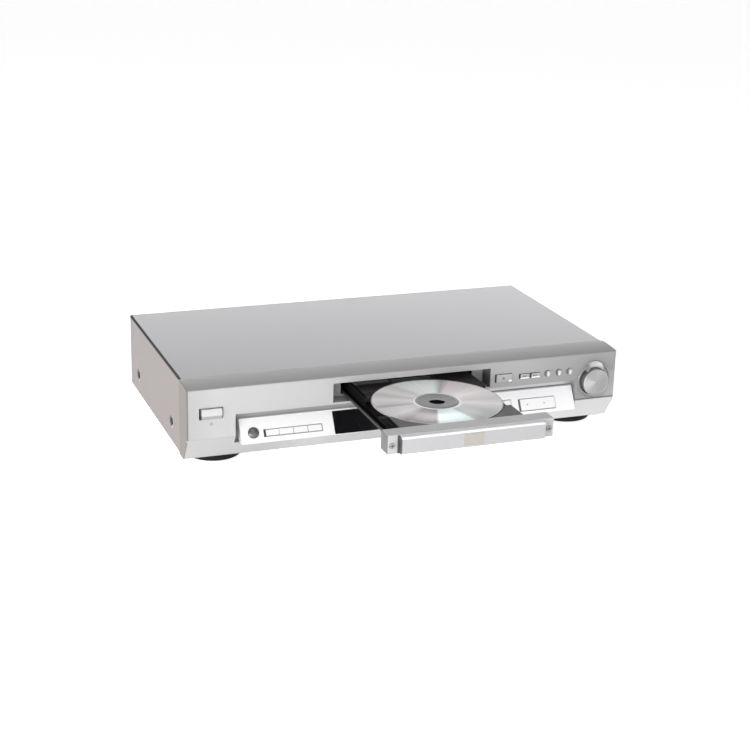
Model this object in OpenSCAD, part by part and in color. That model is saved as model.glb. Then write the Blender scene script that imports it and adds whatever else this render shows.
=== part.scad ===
// Disc player with a sliding tray: a full-width cabinet with a slanted key console,
// a disc drawer with its loading gears, a disc drive deck, boards, sockets and keys.
// Drawn with the tray open, which is the rest position. Millimetres, +Z up.
// Inside the modules the front face is the plane y = 0, the back is +Y and the floor is z = 0.

/* [Cabinet] */
// Width of the front panel
panel_w = 430; // [428:0.5:432]
// Width across the steel cover
cover_w = 427.8; // [427:0.1:428.4]
// Depth from the front face to the back edge of the cover
cabinet_d = 240; // [238:0.5:244]
// Height of the cabinet top above the floor
cabinet_h = 79; // [78.8:0.1:79.4]
// Height of the cabinet's underside above the floor
underside_z = 7; // [6.5:0.1:7]
// Depth of the moulded front panel, from its face to the cover's front edge
panel_d = 29.6; // [29:0.1:31]
// Thickness of the cover's steel sheet
cover_t = 0.9; // [0.7:0.1:0.9]

/* [Front face] */
// Height of the top edge of the face
face_top_z = 77.5; // [77.2:0.1:77.8]
// Height of the crease where the face turns back into the apron
crease_z = 30.2; // [29.8:0.1:30.6]
// How far the apron runs back at its bottom edge
apron_back = 15.6; // [14:0.1:16]
// Wall thickness of the front panel
panel_t = 2.4; // [2.2:0.1:2.6]
// Sideways offset of the drawer and console from the cabinet's centre
centre_x = 2; // [1.5:0.1:2.5]

/* [Drawer] */
// Width of the drawer front
bezel_w = 155.4; // [154:0.1:156]
// Height of the drawer front
bezel_h = 16.8; // [16.4:0.1:17]
// Depth of the drawer front, from its face to its back rim
bezel_d = 15.7; // [15.2:0.1:15.7]
// Travel of the tray from open to closed
tray_travel = 137; // [136:0.5:137]
// Width of the tray across its side flanges
tray_w = 131; // [130.6:0.1:131.2]
// Diameter of the disc
disc_d = 120; // [119.5:0.1:120]
// Thickness of the disc
disc_t = 1.2; // [1.1:0.05:1.25]

/* [Console] */
// Lean of the key console from the vertical, in degrees
slant = 31; // [30:0.5:32]
// Height of the console's top edge
console_top_z = 43; // [42.8:0.1:43.2]
// How far the console's top edge lies behind the face
console_top_y = 9; // [8.8:0.1:9.2]
// Length of the console's slope from top edge to bottom edge
console_len = 24.3; // [24:0.1:24.6]

/* [Controls] */
// Radius of the dial
dial_r = 13.4; // [13:0.1:13.8]
// How far the dial stands out of the face
dial_out = 7.6; // [7:0.1:8]
// Radius of the shuttle ring around the dial
ring_r = 16.9; // [16.6:0.1:17]
// Gap between a key and the edge of its opening in the face
key_gap = 0.3; // [0.25:0.05:0.35]
// Gap between a key and the edge of its opening in the console
console_gap = 0.6; // [0.5:0.05:0.65]
// Travel of the keys
key_travel = 0.8; // [0.6:0.1:0.8]

/* [Feet] */
// Diameter of a foot
foot_d = 51; // [48:0.5:52]
// Distance of each foot's centre from the drawer's centre plane
foot_x = 181.5; // [179:0.5:182]

/* [Gears] */
// Module of every gear and rack
gear_m = 1;
// Teeth on the tray's driving gear
drive_teeth = 30;
// Teeth on the wheel under the driving gear
wheel_teeth = 40;
// Teeth on the pinion of the belt pulley
pinion_teeth = 14;
// Teeth on the gear that moves the pickup
feed_teeth = 12;

/* [Hidden] */
$fn = 64;

eps = 0.01;
big = 500;
half_panel = panel_w / 2;
half_cover = cover_w / 2;
cover_in = half_cover - cover_t;

// Drawer opening in the face
slot_x = [centre_x - 79, centre_x + 79];
slot_z = [53, 71.5];
slot_depth = 16;
slot_wall = 1.6;
// Console recess in the face
recess_x = [centre_x - 172, centre_x + 171.4];
recess_top = 51.2;
recess_depth = 12;
recess_wall = 1.5;
recess_floor = console_top_z - console_len * cos(slant) - 0.2;
// Console moulding
console_x = [recess_x[0] + 5, recess_x[1] - 1.2];
console_mid = (console_x[0] + console_x[1]) / 2;
console_t = 2;
console_bottom_y = console_top_y - console_len * sin(slant);
console_bottom_z = console_top_z - console_len * cos(slant);
window_x = [centre_x - 77.4, centre_x + 77.4];
window_s = [1.5, 23.4];

// Drawer
bezel_y = -137.4;
bezel_z = 53.6;
plate_out = 6.8;
plate_half = 67;
screw_dx = plate_half + 6.4;
screw_z = bezel_z + bezel_h / 2 - 1.1;
disc_y = -58;
disc_z = 65.3;
tray_floor_z = 61.8;
tray_plate_t = 2;
tray_top_z = 66.6;
tray_rail_z = 56.2;
tray_rail_t = 2;
deck_half = 60.2;
notch_in = 51;
notch_half = 28;
shelf_in = 46;
shelf_y = [-60, -12];
tray_back_y = 50;
tray_front_y = bezel_y + bezel_d;
spindle_y = disc_y + tray_travel;

// Loading gears
pitch = PI * gear_m;
drive_r = drive_teeth * gear_m / 2;
wheel_r = wheel_teeth * gear_m / 2;
pinion_r = pinion_teeth * gear_m / 2;
rack_x = 48;
drive_x = rack_x - drive_r;
drive_y = 42;
pulley_x = drive_x - wheel_r - pinion_r;
motor_x = -34;
drive_gear_z = [58.2, 61.2];
wheel_z = [53.8, 56.8];
pulley_z = [49, 52.8];
pulley_r = 12.5;
groove_r = 11;
motor_pulley_r = 5;
motor_groove_r = 3.5;
belt_t = 1.2;
belt_gap = 0.05;
run_gap = 0.05;
post_r = 2;

// Drive deck, drawn lowered: it rises by lift when a disc is clamped
deck_z = 43;
deck_t = 1.5;
platter_z = 58.3;
rod_z = 49.5;
rod_r = 1.5;
rod_dx = 26;
deck_post_x = 41;
deck_post_y = [71, 166];
bridge_z = 69.8;
feed_r = feed_teeth * gear_m / 2;
feed_rack_x = centre_x + 33;
feed_x = feed_rack_x + feed_r;
feed_y = 128;
lens_y = spindle_y + 19;
sled_travel = 35;
rod_end_y = [94, 164];

// Frame, boards and sockets
frame_z = 45;
frame_t = 2;
board_t = 1.6;
board_z = 14;
rear_y = cabinet_d - 1.6;
rear_t = 1;
rear_gap = 0.28;
screw_r = 1.5;
screw_hole_r = 1.55;
phono_r = 4.15;
phono_len = 9;
phono_x = [112, 132];
phono_zs = [30, 50];
inlet_x = -165;
inlet_z = 34;

// Screws that hold the cover: [y, z] on each side, and [x, z] on the back
side_screws = [[66, 25.6], [206, 25.6]];
rear_screws = [[-200, 66], [-60, 66], [90, 66], [200, 66], [-100, 16], [60, 16]];
foot_xs = [centre_x - foot_x, centre_x + foot_x];
foot_ys = [44, 205];
pad_r = 15;
pad_h = 1.8;

// Controls on the face: centres as [x, z]
power_at = [-192.8, 54.3];
open_close_at = [94.5, 60.7];
skip_at = [[116.2, 60.6], [127.8, 60.6]];
mode_at = [[141.4, 60.9], [153.3, 60.9], [164.9, 60.9]];
dial_at = [191, 49.4];
// Controls on the console: centres as [x, distance down the slope]
round_at = [-152.7, 14.1];
strip_x0 = -142.6;
strip_pitch = 13.8;
strip_s = 15.5;
square_at = [101.5, 11.6];
rocker_at = [132.5, 14.8];
power_size = [22.2, 10.9];
open_close_size = [17.8, 8.2];
skip_size = [10.6, 5.2];
strip_size = [13.5, 5.8];
square_size = [7.2, 6];
rocker_size = [37.6, 11.2];
mode_r = 3.1;
round_r = 4.9;
flange_t = 1.2;
switch_h = 2.4;
panel_switch_h = 3;
flange_out = 1;

tongue_x = [-150, 0, 150];
board_y = panel_t + 6;
face_key_back = board_y - switch_h - key_travel - 0.2;
panel_board_depth = 8.4;
slope_key_back = panel_board_depth - panel_switch_h - key_travel - 0.2;
key_posts = [[122, 66], [147.3, 66.4], [147.3, 56.4], [87.6, 67]];
power_frame = 13;
power_travel = 2;
shaft_r = 2;
bush_r = 3.4;
ring_gap = 0.3;
ring_floor = -5.4;
knob_gap = 0.4;
tab_r = 9.2;
tab_up = 11.2;
tab_out = 5;
pivot_r = 1.5;
pivot_depth = 4.4;
bend_r = 1.6;

// The whole set is shifted along Y so that the box around it is centred on the origin
plaque_t = 0.25;
plaque_x = [9.7, 8.6];
front_end = bezel_y - plate_out - plaque_t;
rear_end = rear_y + rear_t + phono_len;
shift_y = -(front_end + rear_end) / 2;

// ---- helpers ----

// Box between two corners
module box(lo, hi) {
    translate(lo) cube(hi - lo);
}

// Solid of a [y, z] outline between two x values
module across(x0, x1) {
    translate([x0, 0, 0]) rotate([90, 0, 90]) linear_extrude(x1 - x0) children();
}

// Cylinder along Y from y0 to y1
module rod_y(x, z, y0, y1, r) {
    translate([x, y0, z]) rotate([-90, 0, 0]) cylinder(h = y1 - y0, r = r);
}

// Cylinder along Z from z0 to z1
module rod_z(x, y, z0, z1, r) {
    translate([x, y, z0]) cylinder(h = z1 - z0, r = r);
}

// Places local +Z out of the face and local +Y up, at [x, z]
module on_face(at, y = 0) {
    translate([at[0], y, at[1]]) rotate([90, 0, 0]) children();
}

// Places local +Z out of the console and local +Y up its slope, at [x, s]
module on_slant(at) {
    translate([at[0], console_top_y - at[1] * sin(slant), console_top_z - at[1] * cos(slant)])
        rotate([90 - slant, 0, 0]) children();
}

// Block centred in X and Y between two z values
module block(size, z0, z1) {
    translate([-size[0] / 2, -size[1] / 2, z0]) cube([size[0], size[1], z1 - z0]);
}

// Block centred on an [x, y] point between two z values
module block_at(at, size, z0, z1) {
    translate([at[0], at[1], 0]) block(size, z0, z1);
}

// Points of an arc
function arc(c, r, a0, a1, n = 6) =
    [for (i = [0 : n]) c + r * [cos(a0 + (a1 - a0) * i / n), sin(a0 + (a1 - a0) * i / n)]];

// Angle by which an involute has turned at radius r
function involute(base, r) = r <= base ? 0 : tan(acos(base / r)) * 180 / PI - acos(base / r);

// Half the angle of a tooth at radius r
function half_tooth(teeth, r) = 82 / teeth + involute(teeth * gear_m / 2 * cos(20), teeth * gear_m / 2)
    - involute(teeth * gear_m / 2 * cos(20), r);

// Outline of a spur gear with its first tooth centred on +X
function gear_outline(teeth) = let (
    p = teeth * gear_m / 2,
    radii = [p - 1.2 * gear_m, p - 0.5 * gear_m, p, p + 0.5 * gear_m, p + 0.9 * gear_m])
    [for (i = [0 : teeth - 1])
        for (k = [0 : 9])
            let (j = k < 5 ? k : 9 - k, side = k < 5 ? -1 : 1,
                a = i * 360 / teeth + side * half_tooth(teeth, radii[j]))
                radii[j] * [cos(a), sin(a)]];

// Teeth of a straight rack along Y, as [x, y] points about its pitch line at x = 0.
// The teeth point towards -X where dir is 1, and a tooth space lies at y = space_y.
function rack_outline(y0, y1, space_y, dir) = let (
    n0 = ceil((y0 - space_y) / pitch + 0.25),
    n1 = floor((y1 - space_y) / pitch - 1.25),
    root = 1.2 * gear_m,
    tip = 0.9 * gear_m,
    lean = tan(20),
    half = pitch / 4 * 0.92)
    concat([[dir * 4, y0], [dir * root, y0]],
        [for (i = [n0 : n1])
            for (c = [[root, -1], [-tip, -1], [-tip, 1], [root, 1]])
                [dir * c[0], space_y + (i + 0.5) * pitch + c[1] * (half + c[0] * lean)]],
        [[dir * root, y1], [dir * 4, y1]]);

// Spur gear between two z values
module spur(teeth, z, turn = 0) {
    translate([0, 0, z[0]]) rotate([0, 0, turn]) linear_extrude(z[1] - z[0]) polygon(gear_outline(teeth));
}

// Pan-head screw along local -Z with its head on top of z = 0
module screw(head_r, shank) {
    difference() {
        union() {
            cylinder(h = 1.8, r = head_r);
            translate([0, 0, -shank]) cylinder(h = shank + eps, r = screw_r);
        }
        for (a = [0, 90]) rotate([0, 0, a]) translate([-head_r * 0.6, -0.4, 0.8]) cube([head_r * 1.2, 0.8, 2]);
    }
}

// ---- cabinet ----

module bottom_chassis() {
    floor_x = cover_in - 0.2;
    flange_x = cover_in - 1.5;
    flange_h = 28;
    color("lightsteelblue") difference() {
        union() {
            box([-floor_x, panel_d + 0.4, underside_z], [floor_x, rear_y - 0.2, underside_z + 1]);
            for (s = [-1, 1]) box([min(s * flange_x, s * (flange_x - 1)), panel_d + 0.4, underside_z],
                [max(s * flange_x, s * (flange_x - 1)), rear_y - 0.2, underside_z + flange_h]);
            difference() {
                box([-floor_x, panel_d + 0.4, underside_z], [floor_x, panel_d + 1.4, underside_z + 10]);
                for (x = tongue_x) box([x - 12.4, panel_d - 1, underside_z + panel_t - 0.4],
                    [x + 12.4, panel_d + 3, underside_z + panel_t + 2.4]);
            }
            box([-floor_x, rear_y - 1.2, underside_z], [floor_x, rear_y - 0.2, underside_z + 12]);
            for (b = board_posts()) rod_z(b[0], b[1], underside_z + 1 - eps, board_z, 3.5);
        }
        for (p = side_screws) rotate([0, 90, 0]) translate([-p[1], p[0], -big / 2])
            cylinder(h = big, r = screw_hole_r);
        for (p = rear_screws) if (p[1] < underside_z + 12)
            rod_y(p[0], p[1], rear_y - 5, rear_y + 5, screw_hole_r);
        for (x = foot_xs) for (y = foot_ys) rod_z(x, y, underside_z - 1, underside_z + 2, screw_hole_r);
        for (i = [0 : 11]) box([-56 + i * 10, 205, underside_z - 1], [-52 + i * 10, 230, underside_z + 2]);
    }
}

// Places of the posts that carry the boards
function board_posts() = concat(
    [for (x = [-200, -100]) for (y = [66, 216]) [x, y]],
    [for (x = [92, 198]) for (y = [58, 186]) [x, y]]);

// Rectangle from bottom to top with rounded bends at its top corners
module bent_outline(half, bottom, top, r) {
    translate([-half, bottom]) square([2 * half, top - bottom - r]);
    translate([-half + r, bottom]) square([2 * (half - r), top - bottom]);
    for (s = [-1, 1]) translate([s * (half - r), top - r]) circle(r = r);
}

module top_cover() {
    front = panel_d + 0.3;
    dimple_r = 6.6;
    dimple_depth = 1.5;
    color("silver") difference() {
        union() {
            translate([0, cabinet_d, 0]) rotate([90, 0, 0]) linear_extrude(cabinet_d - front) difference() {
                bent_outline(half_cover, underside_z, cabinet_h, bend_r);
                bent_outline(cover_in, underside_z - 1, cabinet_h - cover_t, bend_r - cover_t);
            }
            for (s = [-1, 1]) for (p = side_screws) translate([s * (half_cover - cover_t), p[0], p[1]])
                rotate([0, -s * 90, 0]) translate([0, 0, -cover_t / 2])
                    cylinder(h = cover_t / 2 + 1.2, r = dimple_r);
            // Hem inside the rear panel
            box([-cover_in + 4, rear_y - 1.2, 61], [cover_in - 4, rear_y - 0.2, cabinet_h - cover_t + eps]);
        }
        for (s = [-1, 1]) for (p = side_screws)
            translate([s * half_cover, p[0], p[1]]) rotate([0, s * 90, 0]) {
            translate([0, 0, -dimple_depth])
                cylinder(h = dimple_depth + 0.3, r1 = dimple_r - 2, r2 = dimple_r + 0.2);
            translate([0, 0, -6]) cylinder(h = 8, r = screw_hole_r);
        }
        for (p = rear_screws) if (p[1] > 60) rod_y(p[0], p[1], rear_y - 5, rear_y + 5, screw_hole_r);
    }
}

module rear_panel() {
    vent_n = 16;
    color("gainsboro") difference() {
        box([-cover_in + rear_gap, rear_y, underside_z + 0.1],
            [cover_in - rear_gap, rear_y + rear_t, cabinet_h - cover_t - rear_gap]);
        for (p = rear_screws) rod_y(p[0], p[1], rear_y - 5, rear_y + 5, screw_hole_r);
        box([inlet_x - 12.2, rear_y - 5, inlet_z - 8.2], [inlet_x + 12.2, rear_y + 5, inlet_z + 8.2]);
        for (x = phono_x) for (z = phono_zs) rod_y(x, z, rear_y - 5, rear_y + 5, phono_r + 0.6);
        rod_y(158, 50, rear_y - 5, rear_y + 5, 6.6);
        box([152.8, rear_y - 5, 24.8], [163.2, rear_y + 5, 35.2]);
        for (i = [0 : vent_n - 1]) box([-110 + i * 7, rear_y - 1, 34], [-107 + i * 7, rear_y + 5, 56]);
    }
}

// Side view of the front panel's outside, as [y, z]
function face_profile(in) = let (
    crown = cabinet_h - face_top_z,
    steps = 8,
    edge_r = 1.2 - in * 0.3)
    concat(
        [for (i = [0 : steps]) let (y = panel_d - (panel_d - 1.6) * i / steps)
            [y + (i == 0 ? in * 0.5 : 0), cabinet_h - in - crown * pow((panel_d - y) / panel_d, 2)]],
        arc([in + edge_r, face_top_z - in - edge_r], edge_r, 100, 180),
        [[in, crease_z + in * 0.2], [apron_back + in * 0.8, underside_z + in],
            [panel_d + in * 0.5, underside_z + in]]);

// The panel seen from above, with its front corners rounded
module plan_outline() {
    translate([-half_panel, bend_r + eps]) square([panel_w, panel_d]);
    translate([-half_panel + bend_r, eps]) square([panel_w - 2 * bend_r, panel_d]);
    for (s = [-1, 1]) translate([s * (half_panel - bend_r), bend_r + eps]) circle(r = bend_r);
}

module front_panel() {
    color("silver") difference() {
        union() {
            difference() {
                intersection() {
                    across(-half_panel - 1, half_panel + 1) polygon(face_profile(0));
                    linear_extrude(cabinet_h + 10) plan_outline();
                }
                across(-half_panel + panel_t, half_panel - panel_t) polygon(face_profile(panel_t));
            }
            // Walls of the drawer opening and of the console recess, kept inside the moulding
            intersection() {
                across(-half_panel + 2, half_panel - 2) polygon(face_profile(2 * eps));
                union() {
                    box([slot_x[0] - slot_wall, 0, recess_top],
                        [slot_x[1] + slot_wall, slot_depth + slot_wall, slot_z[1] + slot_wall]);
                    box([recess_x[0] - recess_wall, 0, recess_floor - recess_wall],
                        [recess_x[1] + recess_wall, recess_depth + recess_wall, recess_top + recess_wall]);
                }
            }
            // Tongues that hook over the chassis, and posts of the key board
            for (x = tongue_x)
                box([x - 12, 18, underside_z + panel_t - eps], [x + 12, 38, underside_z + panel_t + 2]);
            for (p = key_posts) on_face(p) translate([0, 0, -board_y + 0.02])
                cylinder(h = board_y - panel_t + 0.1, r = 1.6);
            // Seat of the shuttle ring
            on_face(dial_at) translate([0, 0, -8]) cylinder(h = 8 - 2 * eps, r = ring_r + ring_gap + 1.6);
            // Frame of the power key
            on_face(power_at) block(power_size + [4, 4], -power_frame, -2 * eps);
        }
        // Drawer opening and the tray's gate behind it
        box([slot_x[0], -1, slot_z[0]], [slot_x[1], slot_depth, slot_z[1]]);
        box([centre_x - tray_w / 2 - 1, 0, 54.8], [centre_x + tray_w / 2 + 1, slot_depth + 5, 70.2]);
        // Console recess, and the way through behind the console
        box([recess_x[0], -1, recess_floor], [recess_x[1], recess_depth, recess_top]);
        box([console_x[0] + 1.5, 0, recess_floor + 1.8],
            [console_x[1] - 1.5, recess_depth + 5, console_top_z - 1.6]);
        // Keys and dial
        on_face(power_at) block(power_size, -power_frame - 1, 1);
        on_face(open_close_at) block(open_close_size, -5, 1);
        for (p = skip_at) on_face(p) block(skip_size, -5, 1);
        for (p = mode_at) on_face(p) translate([0, 0, -5]) cylinder(h = 6, r = mode_r + key_gap);
        on_face(dial_at) translate([0, 0, -6.5]) cylinder(h = 8, r = ring_r + ring_gap);
        on_face(dial_at) translate([0, 0, -9]) cylinder(h = 5, r = 5);
    }
}

// ---- console ----

// Side view of the console moulding, as [y, z]
function console_outline(in) = let (
    dy = in / cos(slant),
    back_y = recess_depth - 0.1)
    in == 0
        ? [[console_top_y, console_top_z], [console_bottom_y, console_bottom_z],
            [console_bottom_y + 9.6, console_bottom_z], [console_bottom_y + 9.6, console_bottom_z + 1.6],
            [back_y, console_bottom_z + 1.6], [back_y, console_top_z]]
        : [[console_top_y + dy - 1.5 * tan(slant), console_top_z - 1.5],
            [console_bottom_y + dy + 1.5 * tan(slant), console_bottom_z + 1.6],
            [back_y + 1, console_bottom_z + 1.6], [back_y + 1, console_top_z - 1.5]];

module control_panel() {
    color("whitesmoke") difference() {
        across(console_x[0], console_x[1]) polygon(console_outline(0));
        across(console_x[0] + 1.5, console_x[1] - 1.5) polygon(console_outline(console_t));
        on_slant([centre_x, (window_s[0] + window_s[1]) / 2])
            block([window_x[1] - window_x[0], window_s[1] - window_s[0]], -4, 1);
        on_slant(round_at) translate([0, 0, -4]) cylinder(h = 6, r = round_r + key_gap);
        on_slant([strip_x0 + 2 * strip_pitch, strip_s])
            block([4 * strip_pitch + 2 * console_gap, strip_size[1] + 2 * console_gap], -4, 1);
        on_slant(square_at) block(square_size + 2 * console_gap * [1, 1], -4, 1);
        on_slant(rocker_at) block(rocker_size + 2 * console_gap * [1, 1], -4, 1);
    }
    // Posts that carry the board
    color("whitesmoke") for (p = [[-161, 6], [-81, 5], [86, 5], [165, 6]]) on_slant(p)
        translate([0, 0, -panel_board_depth + 0.02]) cylinder(h = panel_board_depth - console_t + 0.1, r = 2);
}

module display_window() {
    color("black") on_slant([centre_x, (window_s[0] + window_s[1]) / 2])
        block([window_x[1] - window_x[0] - 0.2, window_s[1] - window_s[0] - 0.2], -2, 0);
}

module panel_board() {
    color("darkgreen") {
        on_slant([console_mid, 9.2])
            block([console_x[1] - console_x[0] - 6, 15.4], -panel_board_depth - board_t, -panel_board_depth);
        for (p = concat([round_at, square_at],
            [for (i = [0 : 3]) [strip_x0 + (i + 0.5) * strip_pitch, strip_s]],
            [rocker_at + [-12, 0], rocker_at + [12, 0]]))
            on_slant(p) block([5, 4.4], -panel_board_depth - eps, -panel_board_depth + panel_switch_h);
        // Cradle that the rocker's round pivot tips in
        on_slant(rocker_at) difference() {
            block([6, 6], -panel_board_depth - eps, -pivot_depth - 0.3);
            translate([0, 0, -pivot_depth]) rotate([90, 0, 0])
                cylinder(h = 20, r = pivot_r + run_gap, center = true);
        }
    }
}

module display_tube() {
    color("dimgray") on_slant([centre_x, 10]) {
        block([104, 14], -panel_board_depth + 0.02, -panel_board_depth + 4.6);
        block([110, 5], -panel_board_depth + 0.02, -panel_board_depth + 2);
    }
}

module front_key_board() {
    color("darkgreen") {
        box([84.5, board_y, 54.5], [204, board_y + board_t, 69]);
        // Encoder that the dial turns on
        on_face(dial_at) {
            block([13, 13], -board_y - board_t, -board_y + 0.2);
            translate([0, 0, -board_y]) cylinder(h = board_y + ring_floor + 0.1, r = bush_r);
            translate([0, 0, -board_y]) cylinder(h = board_y - 1.2, r = shaft_r);
        }
        for (p = concat([open_close_at], skip_at, mode_at))
            box([p[0] - 2.5, board_y - switch_h, p[1] - 2.5], [p[0] + 2.5, board_y + eps, p[1] + 2.5]);
    }
}

module power_switch() {
    color("dimgray") on_face(power_at) {
        block(power_size + [4, 4], -power_frame - 1.4, -power_frame - 0.02);
        block([14, 12], -24, -power_frame - 1.3);
        block([8, 5], -power_frame - 0.2, -9.1 - power_travel);
    }
}

// Ring around the dial, with a scooped finger tab at its top
module shuttle_ring() {
    hole_r = dial_r + knob_gap;
    scoop_r = 12;
    color("silver") on_face(dial_at) difference() {
        union() {
            rotate_extrude($fn = 96) polygon([[bush_r + run_gap, ring_floor - 0.8], [ring_r, ring_floor - 0.8],
                [ring_r, -0.2], [ring_r - 0.8, 0.5], [hole_r + 0.9, 0.5], [hole_r, -0.3],
                [hole_r, ring_floor], [bush_r + run_gap, ring_floor]]);
            translate([0, tab_up, 0.4]) cylinder(h = tab_out - 0.4, r = tab_r);
        }
        translate([0, 0, 0.3]) cylinder(h = 10, r = hole_r);
        translate([0, tab_up + 4, tab_out + scoop_r - 3]) sphere(r = scoop_r);
    }
}

// ---- keys ----

// Key with its flange behind the wall, in the local frame of its opening
module key(size, out, wall, back, lips = [1, 0]) {
    block(size, -back, out);
    block(size + 2 * flange_out * lips, -wall - flange_t - 0.1, -wall - 0.1);
}

module round_key(r, out, wall, back) {
    translate([0, 0, -back]) cylinder(h = back + out, r = r);
    translate([0, 0, -wall - flange_t - 0.1]) cylinder(h = flange_t, r = r + flange_out);
}

module power_button() {
    w = power_size[0] - 3.4;
    h = power_size[1] - 1.2;
    crown_r = 12;
    color("gainsboro") on_face(power_at + [0.5, 0]) {
        intersection() {
            block([w, h], -9, 2.6);
            rotate([0, 90, 0]) translate([crown_r - 2.6, 0, -w]) cylinder(h = 2 * w, r = crown_r);
        }
    }
}

module open_close_button() {
    color("silver") on_face(open_close_at)
        key(open_close_size - 2 * key_gap * [1, 1], 0.8, panel_t, face_key_back);
}

module skip_key(i) {
    color("silver") on_face(skip_at[i])
        key(skip_size - 2 * key_gap * [1, 1], 0.7, panel_t, face_key_back, [0, 1]);
}

module mode_button(i) {
    color("silver") on_face(mode_at[i]) round_key(mode_r, 1, panel_t, face_key_back);
}

module round_button() {
    dome_r = 9;
    color("dimgray") on_slant(round_at) intersection() {
        round_key(round_r, 2.2, console_t, slope_key_back);
        translate([0, 0, 2.2 - dome_r]) sphere(r = dome_r);
    }
}

module strip_key(i) {
    color("whitesmoke") on_slant([strip_x0 + (i + 0.5) * strip_pitch, strip_s]) {
        block(strip_size, -slope_key_back, 0.9);
        block([strip_size[0], strip_size[1] + 2 * flange_out], -console_t - flange_t - 0.1, -console_t - 0.1);
    }
}

module square_key() {
    color("whitesmoke") on_slant(square_at) key(square_size, 0.8, console_t, slope_key_back);
}

module rocker_key() {
    color("whitesmoke") on_slant(rocker_at) {
        block(rocker_size, -3.2, 0.9);
        block([2, 6], -pivot_depth, -3.2 + eps);
        for (dx = [-12, 12]) translate([dx, 0, 0]) block([2, 2], -slope_key_back - 0.5, -3.2 + eps);
        translate([0, 0, -pivot_depth]) rotate([90, 0, 0]) cylinder(h = 6, r = pivot_r, center = true);
    }
}

module jog_dial() {
    color("silver") on_face(dial_at) rotate_extrude($fn = 96)
        polygon(concat([[0, -1], [shaft_r + run_gap, -1], [shaft_r + run_gap, -5.2], [3.9, -5.2], [3.9, -2.4],
            [dial_r - 1.2, -2.4], [dial_r - 0.4, -1.6]],
            arc([dial_r - 0.8, dial_out - 0.8], 0.8, 0, 90),
            [[dial_r - 1.8, dial_out - 0.5], [0, dial_out - 0.9]]));
}

// ---- feet and screws ----

module feet() {
    color("black") for (x = foot_xs) for (y = foot_ys) translate([x, y, 0]) difference() {
        union() {
            translate([0, 0, 0.4]) cylinder(h = 0.6, r1 = foot_d / 2 - 0.5, r2 = foot_d / 2);
            translate([0, 0, 1]) cylinder(h = underside_z - 1, r = foot_d / 2);
        }
        translate([0, 0, -1]) cylinder(h = pad_h + 1, r = pad_r + 0.1);
        translate([0, 0, pad_h - eps]) cylinder(h = 2.2, r = 4);
        cylinder(h = 10, r = screw_hole_r);
    }
}

module foot_pads() {
    color("dimgray") for (x = foot_xs) for (y = foot_ys) translate([x, y, 0]) difference() {
        cylinder(h = pad_h, r = pad_r);
        translate([0, 0, -1]) cylinder(h = pad_h + 2, r = 6);
    }
}

module case_screws() {
    color("dimgray") {
        for (s = [-1, 1]) for (p = side_screws) translate([s * (half_cover - 1.48), p[0], p[1]])
            rotate([0, s * 90, 0]) screw(3.4, 6);
        for (p = rear_screws) translate([p[0], rear_y + rear_t + 0.02, p[1]])
            rotate([-90, 0, 0]) screw(3.2, 6);
        for (x = foot_xs) for (y = foot_ys) translate([x, y, 3.95]) rotate([180, 0, 0]) screw(3.2, 6);
    }
}

// ---- boards and sockets ----

module main_board() {
    color("darkgreen") {
        box([86, 52, board_z + 0.02], [204, 192, board_z + board_t]);
        for (c = [[130, 110, 30, 3.2], [170, 130, 22, 2.4], [120, 160, 18, 2.4],
            [175, 85, 16, 2], [105, 75, 12, 2]])
            translate([c[0], c[1], board_z + board_t - eps]) block([c[2], c[2]], 0, c[3]);
        for (i = [0 : 4])
            box([100 + i * 18, 171, board_z + board_t - eps], [112 + i * 18, 178, board_z + board_t + 7]);
    }
}

module power_board() {
    color("saddlebrown") {
        box([-206, 60, board_z + 0.02], [-94, 232, board_z + board_t]);
        for (i = [0 : 2])
            box([-120, 80 + i * 22, board_z + board_t - eps], [-104, 92 + i * 22, board_z + board_t + 10]);
        // Heat sink with its fins
        box([-150, 76, board_z + board_t - eps], [-147, 136, board_z + 34]);
        for (i = [0 : 6]) box([-160, 78 + i * 9, board_z + board_t + 6], [-149, 80 + i * 9, board_z + 34]);
        // Fuse holder
        box([-196, 196, board_z + board_t - eps], [-174, 203, board_z + board_t + 8]);
    }
}

module transformer() {
    color("goldenrod") translate([-182, 150, board_z + board_t + 0.02]) {
        block([34, 40], 0, 8);
        block([22, 40], 8 - eps, 26);
        block([34, 40], 26 - eps, 34);
        block([30, 28], 9, 25);
    }
}

module capacitors() {
    cans = [[-184, 84, 11, 30], [-184, 112, 11, 30], [-124, 164, 8, 24],
        [-124, 186, 8, 24], [-124, 208, 6, 16]];
    color("midnightblue") for (c = cans)
        translate([c[0], c[1], board_z + board_t + 0.02]) difference() {
            cylinder(h = c[3], r = c[2]);
            translate([0, 0, 1.6]) difference() {
                cylinder(h = 1, r = c[2] + 1);
                translate([0, 0, -1]) cylinder(h = 3, r = c[2] - 0.5);
            }
        }
}

module mains_inlet() {
    color("black") translate([inlet_x, rear_y, inlet_z]) {
        difference() {
            union() {
                box([-12, -14, -8], [12, rear_t + 1.2, 8]);
                box([-14, -2.5, -10], [14, -0.05, 10]);
            }
            // Figure-of-eight cavity
            for (s = [-1, 1]) rod_y(s * 4.1, 0, -11, 5, 4.3);
            box([-4.1, -11, -4.3], [4.1, 5, 4.3]);
        }
        for (s = [-1, 1]) rod_y(s * 4.3, 0, -11 - eps, -1.5, 1.2);
    }
    color("black") box([inlet_x - 10, rear_y - 13.8, board_z + board_t + 0.02],
        [inlet_x + 10, rear_y - 8, inlet_z - 8 + eps]);
}

module av_board() {
    color("darkgreen") {
        box([96, 200, 22], [176, rear_y - 1.4, 22 + board_t]);
        for (x = [100, 172]) rod_z(x, 206, underside_z + 1, 22 + eps, 3);
    }
}

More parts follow.
